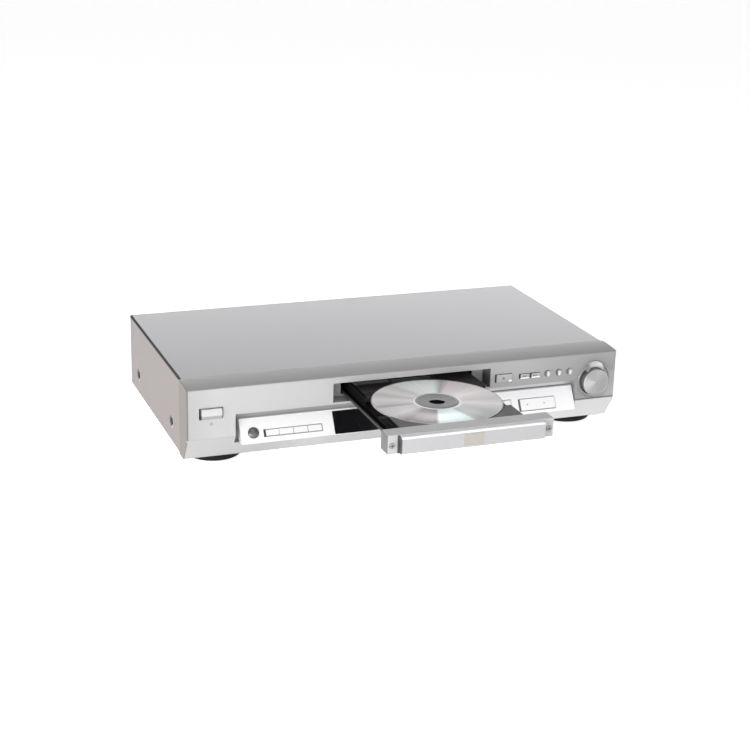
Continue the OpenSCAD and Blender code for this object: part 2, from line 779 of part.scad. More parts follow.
module phono_sockets() {
    color("gold") for (x = phono_x) for (z = phono_zs) {
        difference() {
            union() {
                rod_y(x, z, rear_y + rear_t - eps, rear_y + rear_t + phono_len, phono_r);
                rod_y(x, z, rear_y - 1, rear_y + rear_t, phono_r + 0.5);
            }
            rod_y(x, z, rear_y + 0.5, rear_y + rear_t + phono_len + 1, 3.2);
        }
        difference() {
            rod_y(x, z, rear_y + 0.5 - eps, rear_y + rear_t + phono_len - 1.5, 2.2);
            rod_y(x, z, rear_y + 1.5, rear_y + rear_t + phono_len + 1, 1.6);
        }
    }
    color("black") for (x = phono_x)
        box([x - 6, rear_y - 12, 22 + board_t + 0.02], [x + 6, rear_y - 1 + eps, phono_zs[1] + 6]);
}

module signal_sockets() {
    color("black") {
        difference() {
            union() {
                rod_y(158, 50, rear_y - 12, rear_y + rear_t + 0.6, 6);
                box([151, rear_y - 12, 38], [165, rear_y - 0.1, 57]);
            }
            rod_y(158, 50, rear_y - 8, rear_y + 5, 4.6);
        }
        for (a = [45, 135, 225, 315])
            rod_y(158 + 2.4 * cos(a), 50 + 2.4 * sin(a), rear_y - 8 - eps, rear_y - 4.6, 0.5);
        difference() {
            union() {
                box([153, rear_y - 10, 25], [163, rear_y + rear_t + 0.6, 35]);
                box([153, rear_y - 10, 22 + board_t + 0.02], [163, rear_y - 1, 25 + eps]);
            }
            box([154.5, rear_y - 4, 26.5], [161.5, rear_y + 5, 33.5]);
        }
        box([150, rear_y - 12, 22 + board_t + 0.02], [152.5, rear_y - 2, 38 + eps]);
    }
}

// ---- loader ----

module loader_frame() {
    x_in = tray_w / 2 + 1.2;
    x_out = x_in + 3.8;
    y0 = 19;
    y1 = 196;
    lip_z = tray_rail_z + tray_rail_t + 0.8;
    color("black") difference() {
        union() {
            translate([centre_x, 0, 0]) {
                box([-x_out, y0, frame_z], [x_out, y1, frame_z + frame_t]);
                for (s = [0, 1]) mirror([s, 0, 0]) {
                    box([x_in, y0, frame_z], [x_out, y1, bridge_z - 0.05]);
                    // Ledge under the tray's rails
                    box([x_in - 8, y0, tray_rail_z - 3], [x_in + eps, y1, tray_rail_z - 0.3]);
                    box([x_in - 8, y0, frame_z + eps], [x_in - 6, y1, tray_rail_z - 1]);
                    // Lips that hold the tray down
                    for (y = [22, 120]) box([x_in - 3.4, y, lip_z], [x_in + eps, y + 12, lip_z + 1.4]);
                    for (y = [37, 186]) rod_z(x_out - 5, y, underside_z + 1, frame_z + eps, 4.5);
                }
            }
            // Posts of the loading gears
            rod_z(drive_x, drive_y, frame_z, drive_gear_z[1] + 0.2, post_r);
            rod_z(drive_x, drive_y, frame_z, wheel_z[0] - 0.15, post_r + 1.4);
            rod_z(pulley_x, drive_y, frame_z, wheel_z[1] + 0.2, post_r);
            rod_z(pulley_x, drive_y, frame_z, pulley_z[0] - 0.15, post_r + 1.4);
        }
        // Opening for the drive deck, with a tab at each corner
        difference() {
            box([centre_x - 46, 65.5, frame_z - 1], [centre_x + 46, 172, frame_z + frame_t + 1]);
            for (s = [-1, 1]) for (y = deck_post_y)
                block_at([centre_x + s * 42, y], [10, 12], frame_z, frame_z + frame_t);
        }
        rod_z(motor_x, drive_y, frame_z - 1, frame_z + frame_t + 1, 3);
    }
    // Posts that the drive deck hangs on
    color("black") for (s = [-1, 1]) for (y = deck_post_y) {
        rod_z(centre_x + s * deck_post_x, y, deck_z - 1.6, frame_z + eps, 2.3);
        rod_z(centre_x + s * deck_post_x, y, deck_z - 1.6, deck_z - 0.1, 3.6);
    }
}

module clamp_bridge() {
    z0 = bridge_z;
    half = tray_w / 2 + 7;
    color("gray") difference() {
        union() {
            box([centre_x - half, spindle_y - 17, z0], [centre_x + half, spindle_y + 17, z0 + 1.4]);
            for (s = [-1, 1]) translate([centre_x + s * (half - 0.7), spindle_y, 60])
                translate([-0.7, -17, 0]) cube([1.4, 34, z0 - 60 + 1.4]);
            for (s = [-1, 1]) translate([centre_x - half, spindle_y + s * 16.3 - 0.7, z0 + 1.3])
                cube([2 * half, 1.4, 2.6]);
        }
        rod_z(centre_x, spindle_y, z0 - 1, z0 + 3, 12.6);
    }
}

module clamper() {
    color("black") translate([centre_x, spindle_y, 0]) difference() {
        union() {
            translate([0, 0, 68.4]) cylinder(h = 1.2, r = 15);
            translate([0, 0, 69.5]) cylinder(h = 2, r = 11.8);
            translate([0, 0, 71.35]) cylinder(h = 1.4, r = 15);
            translate([0, 0, 72.7]) cylinder(h = 2, r = 9);
        }
        translate([0, 0, 67]) cylinder(h = 3, r = 7.8);
    }
}

module loading_motor() {
    color("silver") difference() {
        union() {
            rod_z(motor_x, drive_y, 20, frame_z - 0.2, 12);
            rod_z(motor_x, drive_y, frame_z - 0.3, frame_z + 1.4, 2.8);
            rod_z(motor_x, drive_y, 18, 20 + eps, 4);
        }
        rod_z(motor_x, drive_y, 30, frame_z + 3, 1 + run_gap);
    }
}

module motor_pulley() {
    color("gold") {
        rod_z(motor_x, drive_y, 31, pulley_z[1] + 1, 1);
        rod_z(motor_x, drive_y, pulley_z[0], pulley_z[1], motor_groove_r);
        for (z = [pulley_z[0], pulley_z[1] - 1]) rod_z(motor_x, drive_y, z, z + 1, motor_pulley_r);
    }
}

module drive_belt() {
    z0 = (pulley_z[0] + pulley_z[1] - belt_t) / 2;
    color("black") translate([0, drive_y, z0]) difference() {
        hull() {
            translate([pulley_x, 0, 0]) cylinder(h = belt_t, r = groove_r + belt_gap + belt_t);
            translate([motor_x, 0, 0]) cylinder(h = belt_t, r = motor_groove_r + belt_gap + belt_t);
        }
        hull() {
            translate([pulley_x, 0, -1]) cylinder(h = belt_t + 2, r = groove_r + belt_gap);
            translate([motor_x, 0, -1]) cylinder(h = belt_t + 2, r = motor_groove_r + belt_gap);
        }
    }
}

module pulley_gear() {
    color("ivory") translate([pulley_x, drive_y, 0]) difference() {
        union() {
            rod_z(0, 0, pulley_z[0], pulley_z[1], groove_r);
            for (z = [pulley_z[0], pulley_z[1] - 1]) rod_z(0, 0, z, z + 1, pulley_r);
            spur(pinion_teeth, [pulley_z[1] - eps, wheel_z[1]], 180 / pinion_teeth);
        }
        rod_z(0, 0, pulley_z[0] - 1, wheel_z[1] + 1, post_r + run_gap);
    }
}

module drive_gear() {
    color("ivory") translate([drive_x, drive_y, 0]) difference() {
        union() {
            spur(wheel_teeth, wheel_z);
            rod_z(0, 0, wheel_z[1] - eps, drive_gear_z[0] + eps, 8);
            spur(drive_teeth, drive_gear_z);
        }
        rod_z(0, 0, wheel_z[0] - 1, drive_gear_z[1] + 1, post_r + run_gap);
        for (a = [0 : 60 : 300]) rotate([0, 0, a]) rod_z(12.5, 0, wheel_z[0] - 1, wheel_z[1] + 0.5, 3.2);
    }
}

module traverse_deck() {
    x = centre_x;
    color("lightsteelblue") difference() {
        union() {
            box([x - 44.5, 67, deck_z], [x + 44.5, 170.5, deck_z + deck_t]);
            // Saddles that carry the guide rods
            for (s = [-1, 1]) for (y = rod_end_y) block_at([x + s * rod_dx, y], [5, 4], deck_z, rod_z + 3);
        }
        // Window under the pickup
        box([x - 21, 92, deck_z - 1], [x + 21, 152, deck_z + 5]);
        rod_z(x, spindle_y, deck_z - 1, deck_z + 5, 5);
        for (s = [-1, 1]) rod_y(x + s * rod_dx, rod_z, 60, 180, rod_r + 0.02);
        for (s = [-1, 1]) for (y = deck_post_y) rod_z(x + s * deck_post_x, y, deck_z - 1, deck_z + 5, 2.4);
        rod_z(feed_x, feed_y, deck_z - 1, deck_z + 5, 3.5);
    }
}

module spindle_motor() {
    color("silver") translate([centre_x, spindle_y, 0]) difference() {
        union() {
            rod_z(0, 0, deck_z + deck_t + 0.02, deck_z + 8.5, 11.5);
            rod_z(0, 0, deck_z + 8.4, deck_z + 10, 4);
            block([26, 20], deck_z + deck_t + 0.02, deck_z + deck_t + 1.2);
        }
        rod_z(0, 0, deck_z + 3, deck_z + 12, 1 + run_gap);
    }
}

module turntable() {
    color("dimgray") translate([centre_x, spindle_y, 0]) {
        rod_z(0, 0, deck_z + 4, platter_z, 1);
        difference() {
            rod_z(0, 0, platter_z - 4.6, platter_z, 16);
            difference() {
                rod_z(0, 0, platter_z - 5, platter_z - 1.6, 15);
                rod_z(0, 0, platter_z - 6, platter_z, 4);
            }
        }
        translate([0, 0, platter_z - eps]) cylinder(h = 1.4, r = 7.2);
        translate([0, 0, platter_z + 1.3]) cylinder(h = 1.5, r1 = 7.2, r2 = 4.5);
    }
}

module guide_rods() {
    color("silver") for (s = [-1, 1])
        rod_y(centre_x + s * rod_dx, rod_z, rod_end_y[0] - 3, rod_end_y[1] + 3, rod_r);
}

module pickup_sled() {
    x = centre_x;
    color("dimgray") difference() {
        union() {
            box([x - 19, lens_y - 5, rod_z - 4.8], [x + 19, lens_y + 17, rod_z + 3]);
            for (s = [-1, 1]) {
                box([x + s * rod_dx - 4, lens_y + 1, rod_z - 3], [x + s * rod_dx + 4, lens_y + 15, rod_z + 3]);
                box([x + s * 21 - 3, lens_y + 1, rod_z - 3], [x + s * 21 + 3, lens_y + 15, rod_z + 1]);
            }
            // Rack that the feed gear drives
            translate([feed_rack_x, 0, rod_z - 2.5]) linear_extrude(3)
                polygon(rack_outline(feed_y - sled_travel - 5, feed_y + 6, feed_y, -1));
            box([x + rod_dx - 1, lens_y + 1, rod_z - 2.5], [feed_rack_x - 2, lens_y + 15, rod_z + 0.5]);
        }
        for (s = [-1, 1]) rod_y(x + s * rod_dx, rod_z, 60, 200, rod_r + run_gap);
        rod_z(x, lens_y + 4, rod_z - 1, rod_z + 4, 4.6);
    }
}

module pickup_lens() {
    color("lightblue") translate([centre_x, lens_y + 4, 0]) {
        rod_z(0, 0, rod_z - 0.95, rod_z + 3.4, 4);
        intersection() {
            rod_z(0, 0, rod_z + 3.3, rod_z + 8, 2.6);
            translate([0, 0, rod_z + 0.6]) sphere(r = 4.4);
        }
    }
}

module feed_motor() {
    color("silver") {
        rod_z(feed_x, feed_y, deck_z - 17, deck_z - 0.02, 5.4);
        rod_z(feed_x, feed_y, deck_z - 0.1, rod_z - 2.6, 3.3);
        rod_z(feed_x, feed_y, rod_z - 2.7, rod_z + 0.8, 1);
    }
}

module feed_gear() {
    color("ivory") translate([feed_x, feed_y, 0]) difference() {
        spur(feed_teeth, [rod_z - 2.4, rod_z + 0.4]);
        rod_z(0, 0, rod_z - 4, rod_z + 4, 1 + run_gap);
    }
}

module ribbon_cable() {
    color("white") {
        box([centre_x - 10, 170, 19.7], [centre_x + 10, 170.3, deck_z - 0.02]);
        box([centre_x - 10, 170, 19.7], [99.95, 179, 20]);
    }
}

// ---- drawer ----

module tray() {
    x = centre_x;
    half = tray_w / 2;
    rail_top = tray_rail_z + tray_rail_t;
    ridge = 0.5;
    color("black") difference() {
        union() {
            box([x - deck_half, tray_front_y, tray_floor_z], [x + deck_half, tray_back_y, tray_top_z]);
            // Side walls down to the running flanges, with a ridge along each edge
            for (s = [0, 1]) translate([x, 0, 0]) mirror([s, 0, 0]) {
                box([deck_half - 2, tray_front_y, tray_rail_z], [deck_half, tray_back_y, tray_floor_z + eps]);
                box([deck_half - 2, tray_front_y, tray_rail_z], [half, tray_back_y, rail_top]);
                box([half - 1.2, tray_front_y, rail_top - eps], [half, tray_back_y, rail_top + ridge]);
            }
            // The left flange widens inwards under the rear of the finger cut-out
            box([x - deck_half, shelf_y[0], tray_rail_z], [x - shelf_in, shelf_y[1], rail_top]);
            // Cross rib under the front
            box([x - deck_half + 1, tray_front_y, tray_floor_z - 4.2],
                [x + deck_half - 1, tray_front_y + 2, tray_floor_z + eps]);
            // Rack that the loading gear drives
            translate([rack_x, 0, 58]) linear_extrude(tray_floor_z - 58 + 0.5)
                polygon(rack_outline(drive_y - tray_travel - 12, tray_back_y - 1, drive_y, 1));
        }
        translate([x, disc_y, 0]) {
            // Disc seat, and the pockets for large and small discs
            translate([0, 0, disc_z - 0.1]) cylinder(h = 10, r = disc_d / 2 + 1, $fn = 128);
            translate([0, 0, tray_floor_z + tray_plate_t + 0.2])
                cylinder(h = 10, r = disc_d / 2 - 2, $fn = 128);
            translate([0, 0, tray_floor_z + 1.2]) cylinder(h = 10, r = 40.6, $fn = 96);
            // Opening for the turntable and the pickup
            cylinder(h = 100, r = 21);
            box([-21, 0, 0], [21, 68, 100]);
            // Finger cut-outs through the deck at the sides of the disc
            for (s = [0, 1]) mirror([s, 0, 0])
                box([notch_in, -notch_half, rail_top], [half - 2, notch_half, 100]);
        }
        // Lowered corners at the back
        for (s = [-1, 1]) translate([x + s * 36 - 18, tray_back_y - 30, tray_top_z - 1.5]) cube([36, 40, 5]);
    }
}

module bezel() {
    x0 = centre_x - bezel_w / 2;
    x1 = centre_x + bezel_w / 2;
    wall = 2;
    color("silver") difference() {
        box([x0, bezel_y, bezel_z], [x1, bezel_y + bezel_d, bezel_z + bezel_h]);
        difference() {
            box([x0 + wall, bezel_y + 3, bezel_z + wall],
                [x1 - wall, bezel_y + bezel_d + 1, bezel_z + bezel_h - wall]);
            // Ribs, and the two bosses behind the screws
            for (i = [-2 : 2]) box([centre_x + i * 28 - 0.8, bezel_y, bezel_z],
                [centre_x + i * 28 + 0.8, bezel_y + bezel_d - 0.02, bezel_z + bezel_h]);
            for (s = [-1, 1]) rod_y(centre_x + s * screw_dx, screw_z, bezel_y, bezel_y + bezel_d - 2, 3.4);
        }
        for (s = [-1, 1]) {
            rod_y(centre_x + s * screw_dx, screw_z, bezel_y - 1, bezel_y + 1.4, 2.8);
            rod_y(centre_x + s * screw_dx, screw_z, bezel_y - 1, bezel_y + 12, screw_hole_r);
        }
    }
}

// Side view of the proud plate on the drawer front, as [y, z], grown by g
function plate_profile(g = 0) = let (
    back = bezel_y - 0.02,
    top = bezel_z + bezel_h - 0.4,
    bottom = bezel_z + 0.5,
    front = bezel_y - plate_out,
    mid = (top + bottom) / 2,
    sag_r = 60)
    concat([[back, top + g], [front + 2.6, top - 0.5 + g]],
        arc([front + 2.5, top - 2.9], 2.4 + g, 90, 170, 5),
        [for (z = [top - 3.6 : -1.2 : bottom + 1.6])
            [front + sag_r - sqrt(sag_r * sag_r - pow(z - mid - 2, 2)) - g, z]],
        arc([front + 2.6, bottom + 1.4], 1.4 + g, 200, 270, 4),
        [[back, bottom - g]]);

module bezel_plate() {
    color("lightgray") across(centre_x - plate_half, centre_x + plate_half) polygon(plate_profile());
}

module bezel_screws() {
    color("silver") for (s = [-1, 1]) translate([centre_x + s * screw_dx, bezel_y + 1.38, screw_z])
        rotate([90, 0, 0]) screw(2.6, 8);
}

module plaque() {
    z0 = bezel_z + 2.4;
    z1 = bezel_z + bezel_h - 3.4;
    color("wheat") intersection() {
        across(centre_x - plaque_x[0], centre_x + plaque_x[1]) difference() {
            polygon(plate_profile(plaque_t));
            polygon(plate_profile(0.01));
        }
        box([centre_x - 20, bezel_y - 20, z0], [centre_x + 20, bezel_y - 3, z1]);
    }
}

module disc() {
    color("silver") translate([centre_x, disc_y, disc_z]) difference() {
        cylinder(h = disc_t, r = disc_d / 2, $fn = 128);
        translate([0, 0, -1]) cylinder(h = 4, r = 7.5);
    }
}

// Moves a piece from the face's frame to the centred frame
module placed() {
    translate([0, shift_y, 0]) children();
}

placed() bottom_chassis();
placed() top_cover();
placed() rear_panel();
placed() front_panel();
placed() control_panel();
placed() display_window();
placed() panel_board();
placed() display_tube();
placed() front_key_board();
placed() power_switch();
placed() shuttle_ring();
placed() feet();
placed() foot_pads();
placed() case_screws();
placed() main_board();
placed() power_board();
placed() transformer();
placed() capacitors();
placed() mains_inlet();
placed() av_board();
placed() phono_sockets();
placed() signal_sockets();
placed() loader_frame();
placed() clamp_bridge();
placed() loading_motor();
placed() drive_belt();
placed() ribbon_cable();
placed() traverse_deck();
placed() spindle_motor();
placed() guide_rods();
placed() feed_motor();
placed() clamper();
placed() motor_pulley();
placed() pulley_gear();
placed() drive_gear();
placed() turntable();
placed() pickup_sled();
placed() pickup_lens();
placed() feed_gear();
placed() tray();
placed() bezel();
placed() bezel_plate();
placed() bezel_screws();
placed() plaque();
placed() disc();
placed() power_button();
placed() open_close_button();
placed() skip_key(0);  // skip_back_key
placed() skip_key(1);  // skip_next_key
placed() mode_button(0);  // mode_button_a
placed() mode_button(1);  // mode_button_b
placed() mode_button(2);  // mode_button_c
placed() round_button();
placed() strip_key(0);  // strip_key_a
placed() strip_key(1);  // strip_key_b
placed() strip_key(2);  // strip_key_c
placed() strip_key(3);  // strip_key_d
placed() square_key();
placed() rocker_key();
placed() jog_dial();
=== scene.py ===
import logging
import math
from dataclasses import dataclass, field
from enum import Enum
from typing import Sequence

import bmesh
import bpy
from mathutils import Matrix, Vector

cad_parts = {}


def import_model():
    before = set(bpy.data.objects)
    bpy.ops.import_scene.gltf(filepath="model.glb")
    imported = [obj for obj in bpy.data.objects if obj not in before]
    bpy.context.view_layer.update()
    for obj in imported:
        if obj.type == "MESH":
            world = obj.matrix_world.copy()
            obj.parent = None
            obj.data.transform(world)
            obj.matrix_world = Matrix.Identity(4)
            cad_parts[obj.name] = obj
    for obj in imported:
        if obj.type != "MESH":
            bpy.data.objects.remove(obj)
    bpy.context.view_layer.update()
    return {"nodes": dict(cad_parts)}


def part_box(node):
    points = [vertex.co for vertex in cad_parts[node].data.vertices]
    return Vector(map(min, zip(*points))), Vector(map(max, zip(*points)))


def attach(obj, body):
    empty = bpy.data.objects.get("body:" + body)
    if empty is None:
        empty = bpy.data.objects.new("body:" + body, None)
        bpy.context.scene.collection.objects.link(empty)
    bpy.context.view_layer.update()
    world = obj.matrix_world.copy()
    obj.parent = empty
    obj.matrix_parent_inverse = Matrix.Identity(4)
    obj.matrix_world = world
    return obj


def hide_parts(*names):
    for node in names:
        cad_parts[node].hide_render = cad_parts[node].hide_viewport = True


log = logging.getLogger("disc_player")

Rgb = tuple[float, float, float]
Point = tuple[float, float, float]
Span = tuple[float, float]
Outline = list[tuple[float, float]]
Socket = bpy.types.NodeSocket

MM = 0.001
MICRON = 1e-6
FULL_TURN = 2.0 * math.pi
NOISE_SPAN: Span = (0.3, 0.7)       # where most of a noise's values lie
WHITE: Rgb = (1.0, 1.0, 1.0)

FACE_Y = -0.051975                  # the plane of the front face
SLANT = math.radians(31)            # the console's lean from the vertical
CONSOLE_TOP = Vector((0.0, FACE_Y + 0.009, 0.043))
DIAL_CENTRE: Point = (0.191, FACE_Y, 0.0494)


# ---------------------------------------------------------------- node helpers


class Shader:
    """A small helper that adds and links the nodes of one material."""

    EDGE_SAMPLES = 4
    EDGE_SPAN: Span = (0.80, 0.995)     # cosine between the softened and the true normal

    def __init__(self, name: str) -> None:
        """Makes an empty node material.

        Args:
            name: The material's name.
        """
        self.material = bpy.data.materials.new(name)
        self.material.use_nodes = True
        self.tree = self.material.node_tree
        self.tree.nodes.clear()
        self.output = self.add("ShaderNodeOutputMaterial")
        self.surface = self.add("ShaderNodeBsdfPrincipled")
        self.link(self.surface.outputs["BSDF"], self.output.inputs["Surface"])

    def add(self, kind: str, **values: object) -> bpy.types.Node:
        """Adds a node and sets its properties.

        Args:
            kind: Blender's name of the node type.
            **values: Node properties and their values.

        Returns:
            The new node.
        """
        node = self.tree.nodes.new(kind)
        for key, value in values.items():
            setattr(node, key, value)
        return node

    def link(self, source: Socket, target: Socket) -> None:
        """Joins an output socket to an input socket."""
        self.tree.links.new(source, target)

    def feed(self, node: bpy.types.Node, socket: int | str, value: object) -> None:
        """Links a socket into an input, or sets a constant there.

        Args:
            node: The node that takes the value.
            socket: The input's name or index.
            value: An output socket, a number or a sequence.
        """
        if isinstance(value, Socket):
            self.link(value, node.inputs[socket])
        else:
            node.inputs[socket].default_value = value

    def coords(self, scale: Point = (1.0, 1.0, 1.0), origin: Point = (0.0, 0.0, 0.0)) -> Socket:
        """The piece's own coordinates in metres.

        Args:
            scale: What each axis is multiplied by.
            origin: The point that is taken away first.

        Returns:
            The vector socket.
        """
        source = self.add("ShaderNodeTexCoord").outputs["Object"]
        moved = self.add("ShaderNodeVectorMath", operation="SUBTRACT")
        self.link(source, moved.inputs[0])
        moved.inputs[1].default_value = origin
        scaled = self.add("ShaderNodeVectorMath", operation="MULTIPLY")
        self.link(moved.outputs[0], scaled.inputs[0])
        scaled.inputs[1].default_value = scale
        return scaled.outputs[0]

    def axes(self, vector: Socket) -> bpy.types.bpy_prop_collection:
        """A vector's three components.

        Args:
            vector: The vector.

        Returns:
            The outputs that hold them, in order.
        """
        parts = self.add("ShaderNodeSeparateXYZ")
        self.link(vector, parts.inputs[0])
        return parts.outputs

    def length(self, vector: Socket) -> Socket:
        """A vector's length.

        Args:
            vector: The vector.

        Returns:
            The length's socket.
        """
        node = self.add("ShaderNodeVectorMath", operation="LENGTH")
        self.link(vector, node.inputs[0])
        return node.outputs["Value"]

    def turns(self, across: Socket, along: Socket) -> Socket:
        """The angle of a point about the origin.

        Args:
            across: Its coordinate on the second axis.
            along: Its coordinate on the first axis.

        Returns:
            The angle in turns, from 0 to 1.
        """
        angle = self.math("ARCTAN2", across, along)
        return self.math("ADD", self.math("DIVIDE", angle, FULL_TURN), 0.5)

    def noise(self, vector: Socket, scale: float, detail: float = 3.0, rough: float = 0.5) -> Socket:
        """Noise between 0 and 1.

        Args:
            vector: Where the noise is read.
            scale: One over the size of a feature.
            detail: How many finer layers are added.
            rough: How strong the finer layers are.

        Returns:
            The value socket.
        """
        node = self.add("ShaderNodeTexNoise")
        self.link(vector, node.inputs["Vector"])
        node.inputs["Scale"].default_value = scale
        node.inputs["Detail"].default_value = detail
        node.inputs["Roughness"].default_value = rough
        return node.outputs["Fac"]

    def math(self, operation: str, first: object, second: object = 0.0) -> Socket:
        """One step of arithmetic.

        Args:
            operation: Blender's name of the operation.
            first: A socket or a number.
            second: A socket or a number.

        Returns:
            The result's socket.
        """
        node = self.add("ShaderNodeMath", operation=operation)
        self.feed(node, 0, first)
        self.feed(node, 1, second)
        return node.outputs[0]

    def spread(self, value: Socket, low: float, high: float, span: Span = NOISE_SPAN) -> Socket:
        """Maps a value from one range to another, and holds it within the second.

        Args:
            value: The value.
            low: The result at the start of span.
            high: The result at the end of span.
            span: The range that the value comes from.

        Returns:
            The result's socket.
        """
        node = self.add("ShaderNodeMapRange")
        self.link(value, node.inputs["Value"])
        node.inputs["From Min"].default_value = span[0]
        node.inputs["From Max"].default_value = span[1]
        node.inputs["To Min"].default_value = low
        node.inputs["To Max"].default_value = high
        return node.outputs["Result"]

    def blend(self, factor: object, first: object, second: object, mode: str = "MIX") -> Socket:
        """Mixes two colours.

        Args:
            factor: The share of the second colour.
            first: A colour or a colour socket.
            second: A colour or a colour socket.
            mode: Blender's blend mode.

        Returns:
            The mixed colour.
        """
        node = self.add("ShaderNodeMix", data_type="RGBA", blend_type=mode)
        self.feed(node, 0, factor)
        for socket, value in ((6, first), (7, second)):
            if isinstance(value, tuple) and len(value) == 3:
                value = (*value, 1.0)
            self.feed(node, socket, value)
        return node.outputs[2]

    def edge_mask(self, radius: float) -> tuple[Socket, Socket]:
        """A softened normal, and a mask that is 1 along the piece's edges.

        Args:
            radius: The radius of the softened edge, in metres.

        Returns:
            The normal and the mask.
        """
        soft = self.add("ShaderNodeBevel", samples=self.EDGE_SAMPLES)
        soft.inputs["Radius"].default_value = radius
        flat = self.add("ShaderNodeNewGeometry").outputs["True Normal"]
        dot = self.add("ShaderNodeVectorMath", operation="DOT_PRODUCT")
        self.link(soft.outputs["Normal"], dot.inputs[0])
        self.link(flat, dot.inputs[1])
        mask = self.spread(dot.outputs["Value"], 1.0, 0.0, self.EDGE_SPAN)
        return soft.outputs["Normal"], mask

    def relief(self, height: Socket, depth: float, normal: Socket | None = None) -> Socket:
        """Turns a height into a bumped normal.

        Args:
            height: The height, between 0 and 1.
            depth: How deep the relief is, in metres.
            normal: The normal that is bumped, where it isn't the surface's own.

        Returns:
            The bumped normal.
        """
        node = self.add("ShaderNodeBump")
        node.inputs["Strength"].default_value = 1.0
        node.inputs["Distance"].default_value = depth
        self.link(height, node.inputs["Height"])
        if normal is not None:
            self.link(normal, node.inputs["Normal"])
        return node.outputs["Normal"]

    def turned_about(self, axis: str) -> None:
        """Draws the highlights out round an axis, as on a turned surface."""
        tangent = self.add("ShaderNodeTangent", direction_type="RADIAL", axis=axis)
        self.link(tangent.outputs[0], self.surface.inputs["Tangent"])


def lit(colour: Rgb, factor: float) -> Rgb:
    """A colour made lighter or darker, kept within the range of a colour."""
    return tuple(max(0.0, min(1.0, part * factor)) for part in colour)


def fill_ramp(ramp: bpy.types.Node, stops: Sequence[tuple[float, Rgb]]) -> None:
    """Sets a colour ramp's stops.

    Args:
        ramp: The ramp node.
        stops: Places from 0 to 1 with their colours.
    """
    points = ramp.color_ramp.elements
    while len(points) > 1:
        points.remove(points[-1])
    points[0].position = stops[0][0]
    points[0].color = (*stops[0][1], 1.0)
    for place, colour in stops[1:]:
        points.new(place).color = (*colour, 1.0)


# ---------------------------------------------------------------- finishes


class Grain(Enum):
    """The small relief that a surface is covered with."""

    PEEL = "sprayed paint"
    MOULDED = "spark-eroded mould texture"
    BRUSHED = "lines brushed along X"
    SPUN = "rings turned about the piece's axis"
    SMOOTH = "polished, with faint ripples"
    RUBBER = "moulded rubber"
    FIBRE = "glass-fibre board"


@dataclass(frozen=True)
class Shade:
    """A soft-edged box within a piece where light and shade are painted over its colour.

    The box is given in the part's own coordinates, in metres, from its low corner to its high one. The
    factor lightens or darkens what is inside, and a dull shade also takes the gloss away.
    """

    low: Point
    high: Point
    factor: float | Rgb
    soft_mm: float = 0.5
    dull: bool = False
    soft_x_mm: float | None = None

    def mask(self, s: Shader) -> Socket:
        """1 inside the box and 0 outside it.

        Args:
            s: The material's helper.

        Returns:
            The mask's socket.
        """
        place = s.axes(s.coords())
        inside: object = 1.0
        for axis in range(3):
            sideways = axis == 0 and self.soft_x_mm is not None
            soft = (self.soft_x_mm if sideways else self.soft_mm) * MM
            low, high = self.low[axis], self.high[axis]
            above = s.spread(place[axis], 0.0, 1.0, (low - soft, low + soft))
            below = s.spread(place[axis], 1.0, 0.0, (high - soft, high + soft))
            inside = s.math("MULTIPLY", s.math("MULTIPLY", above, below), inside)
        return inside

    def apply(self, s: Shader, colour: Socket, inside: Socket) -> Socket:
        """Darkens or lightens a colour where the mask is 1."""
        scale = self.factor if isinstance(self.factor, tuple) else (self.factor,) * 3
        return s.blend(inside, colour, s.blend(1.0, colour, scale, "MULTIPLY"))


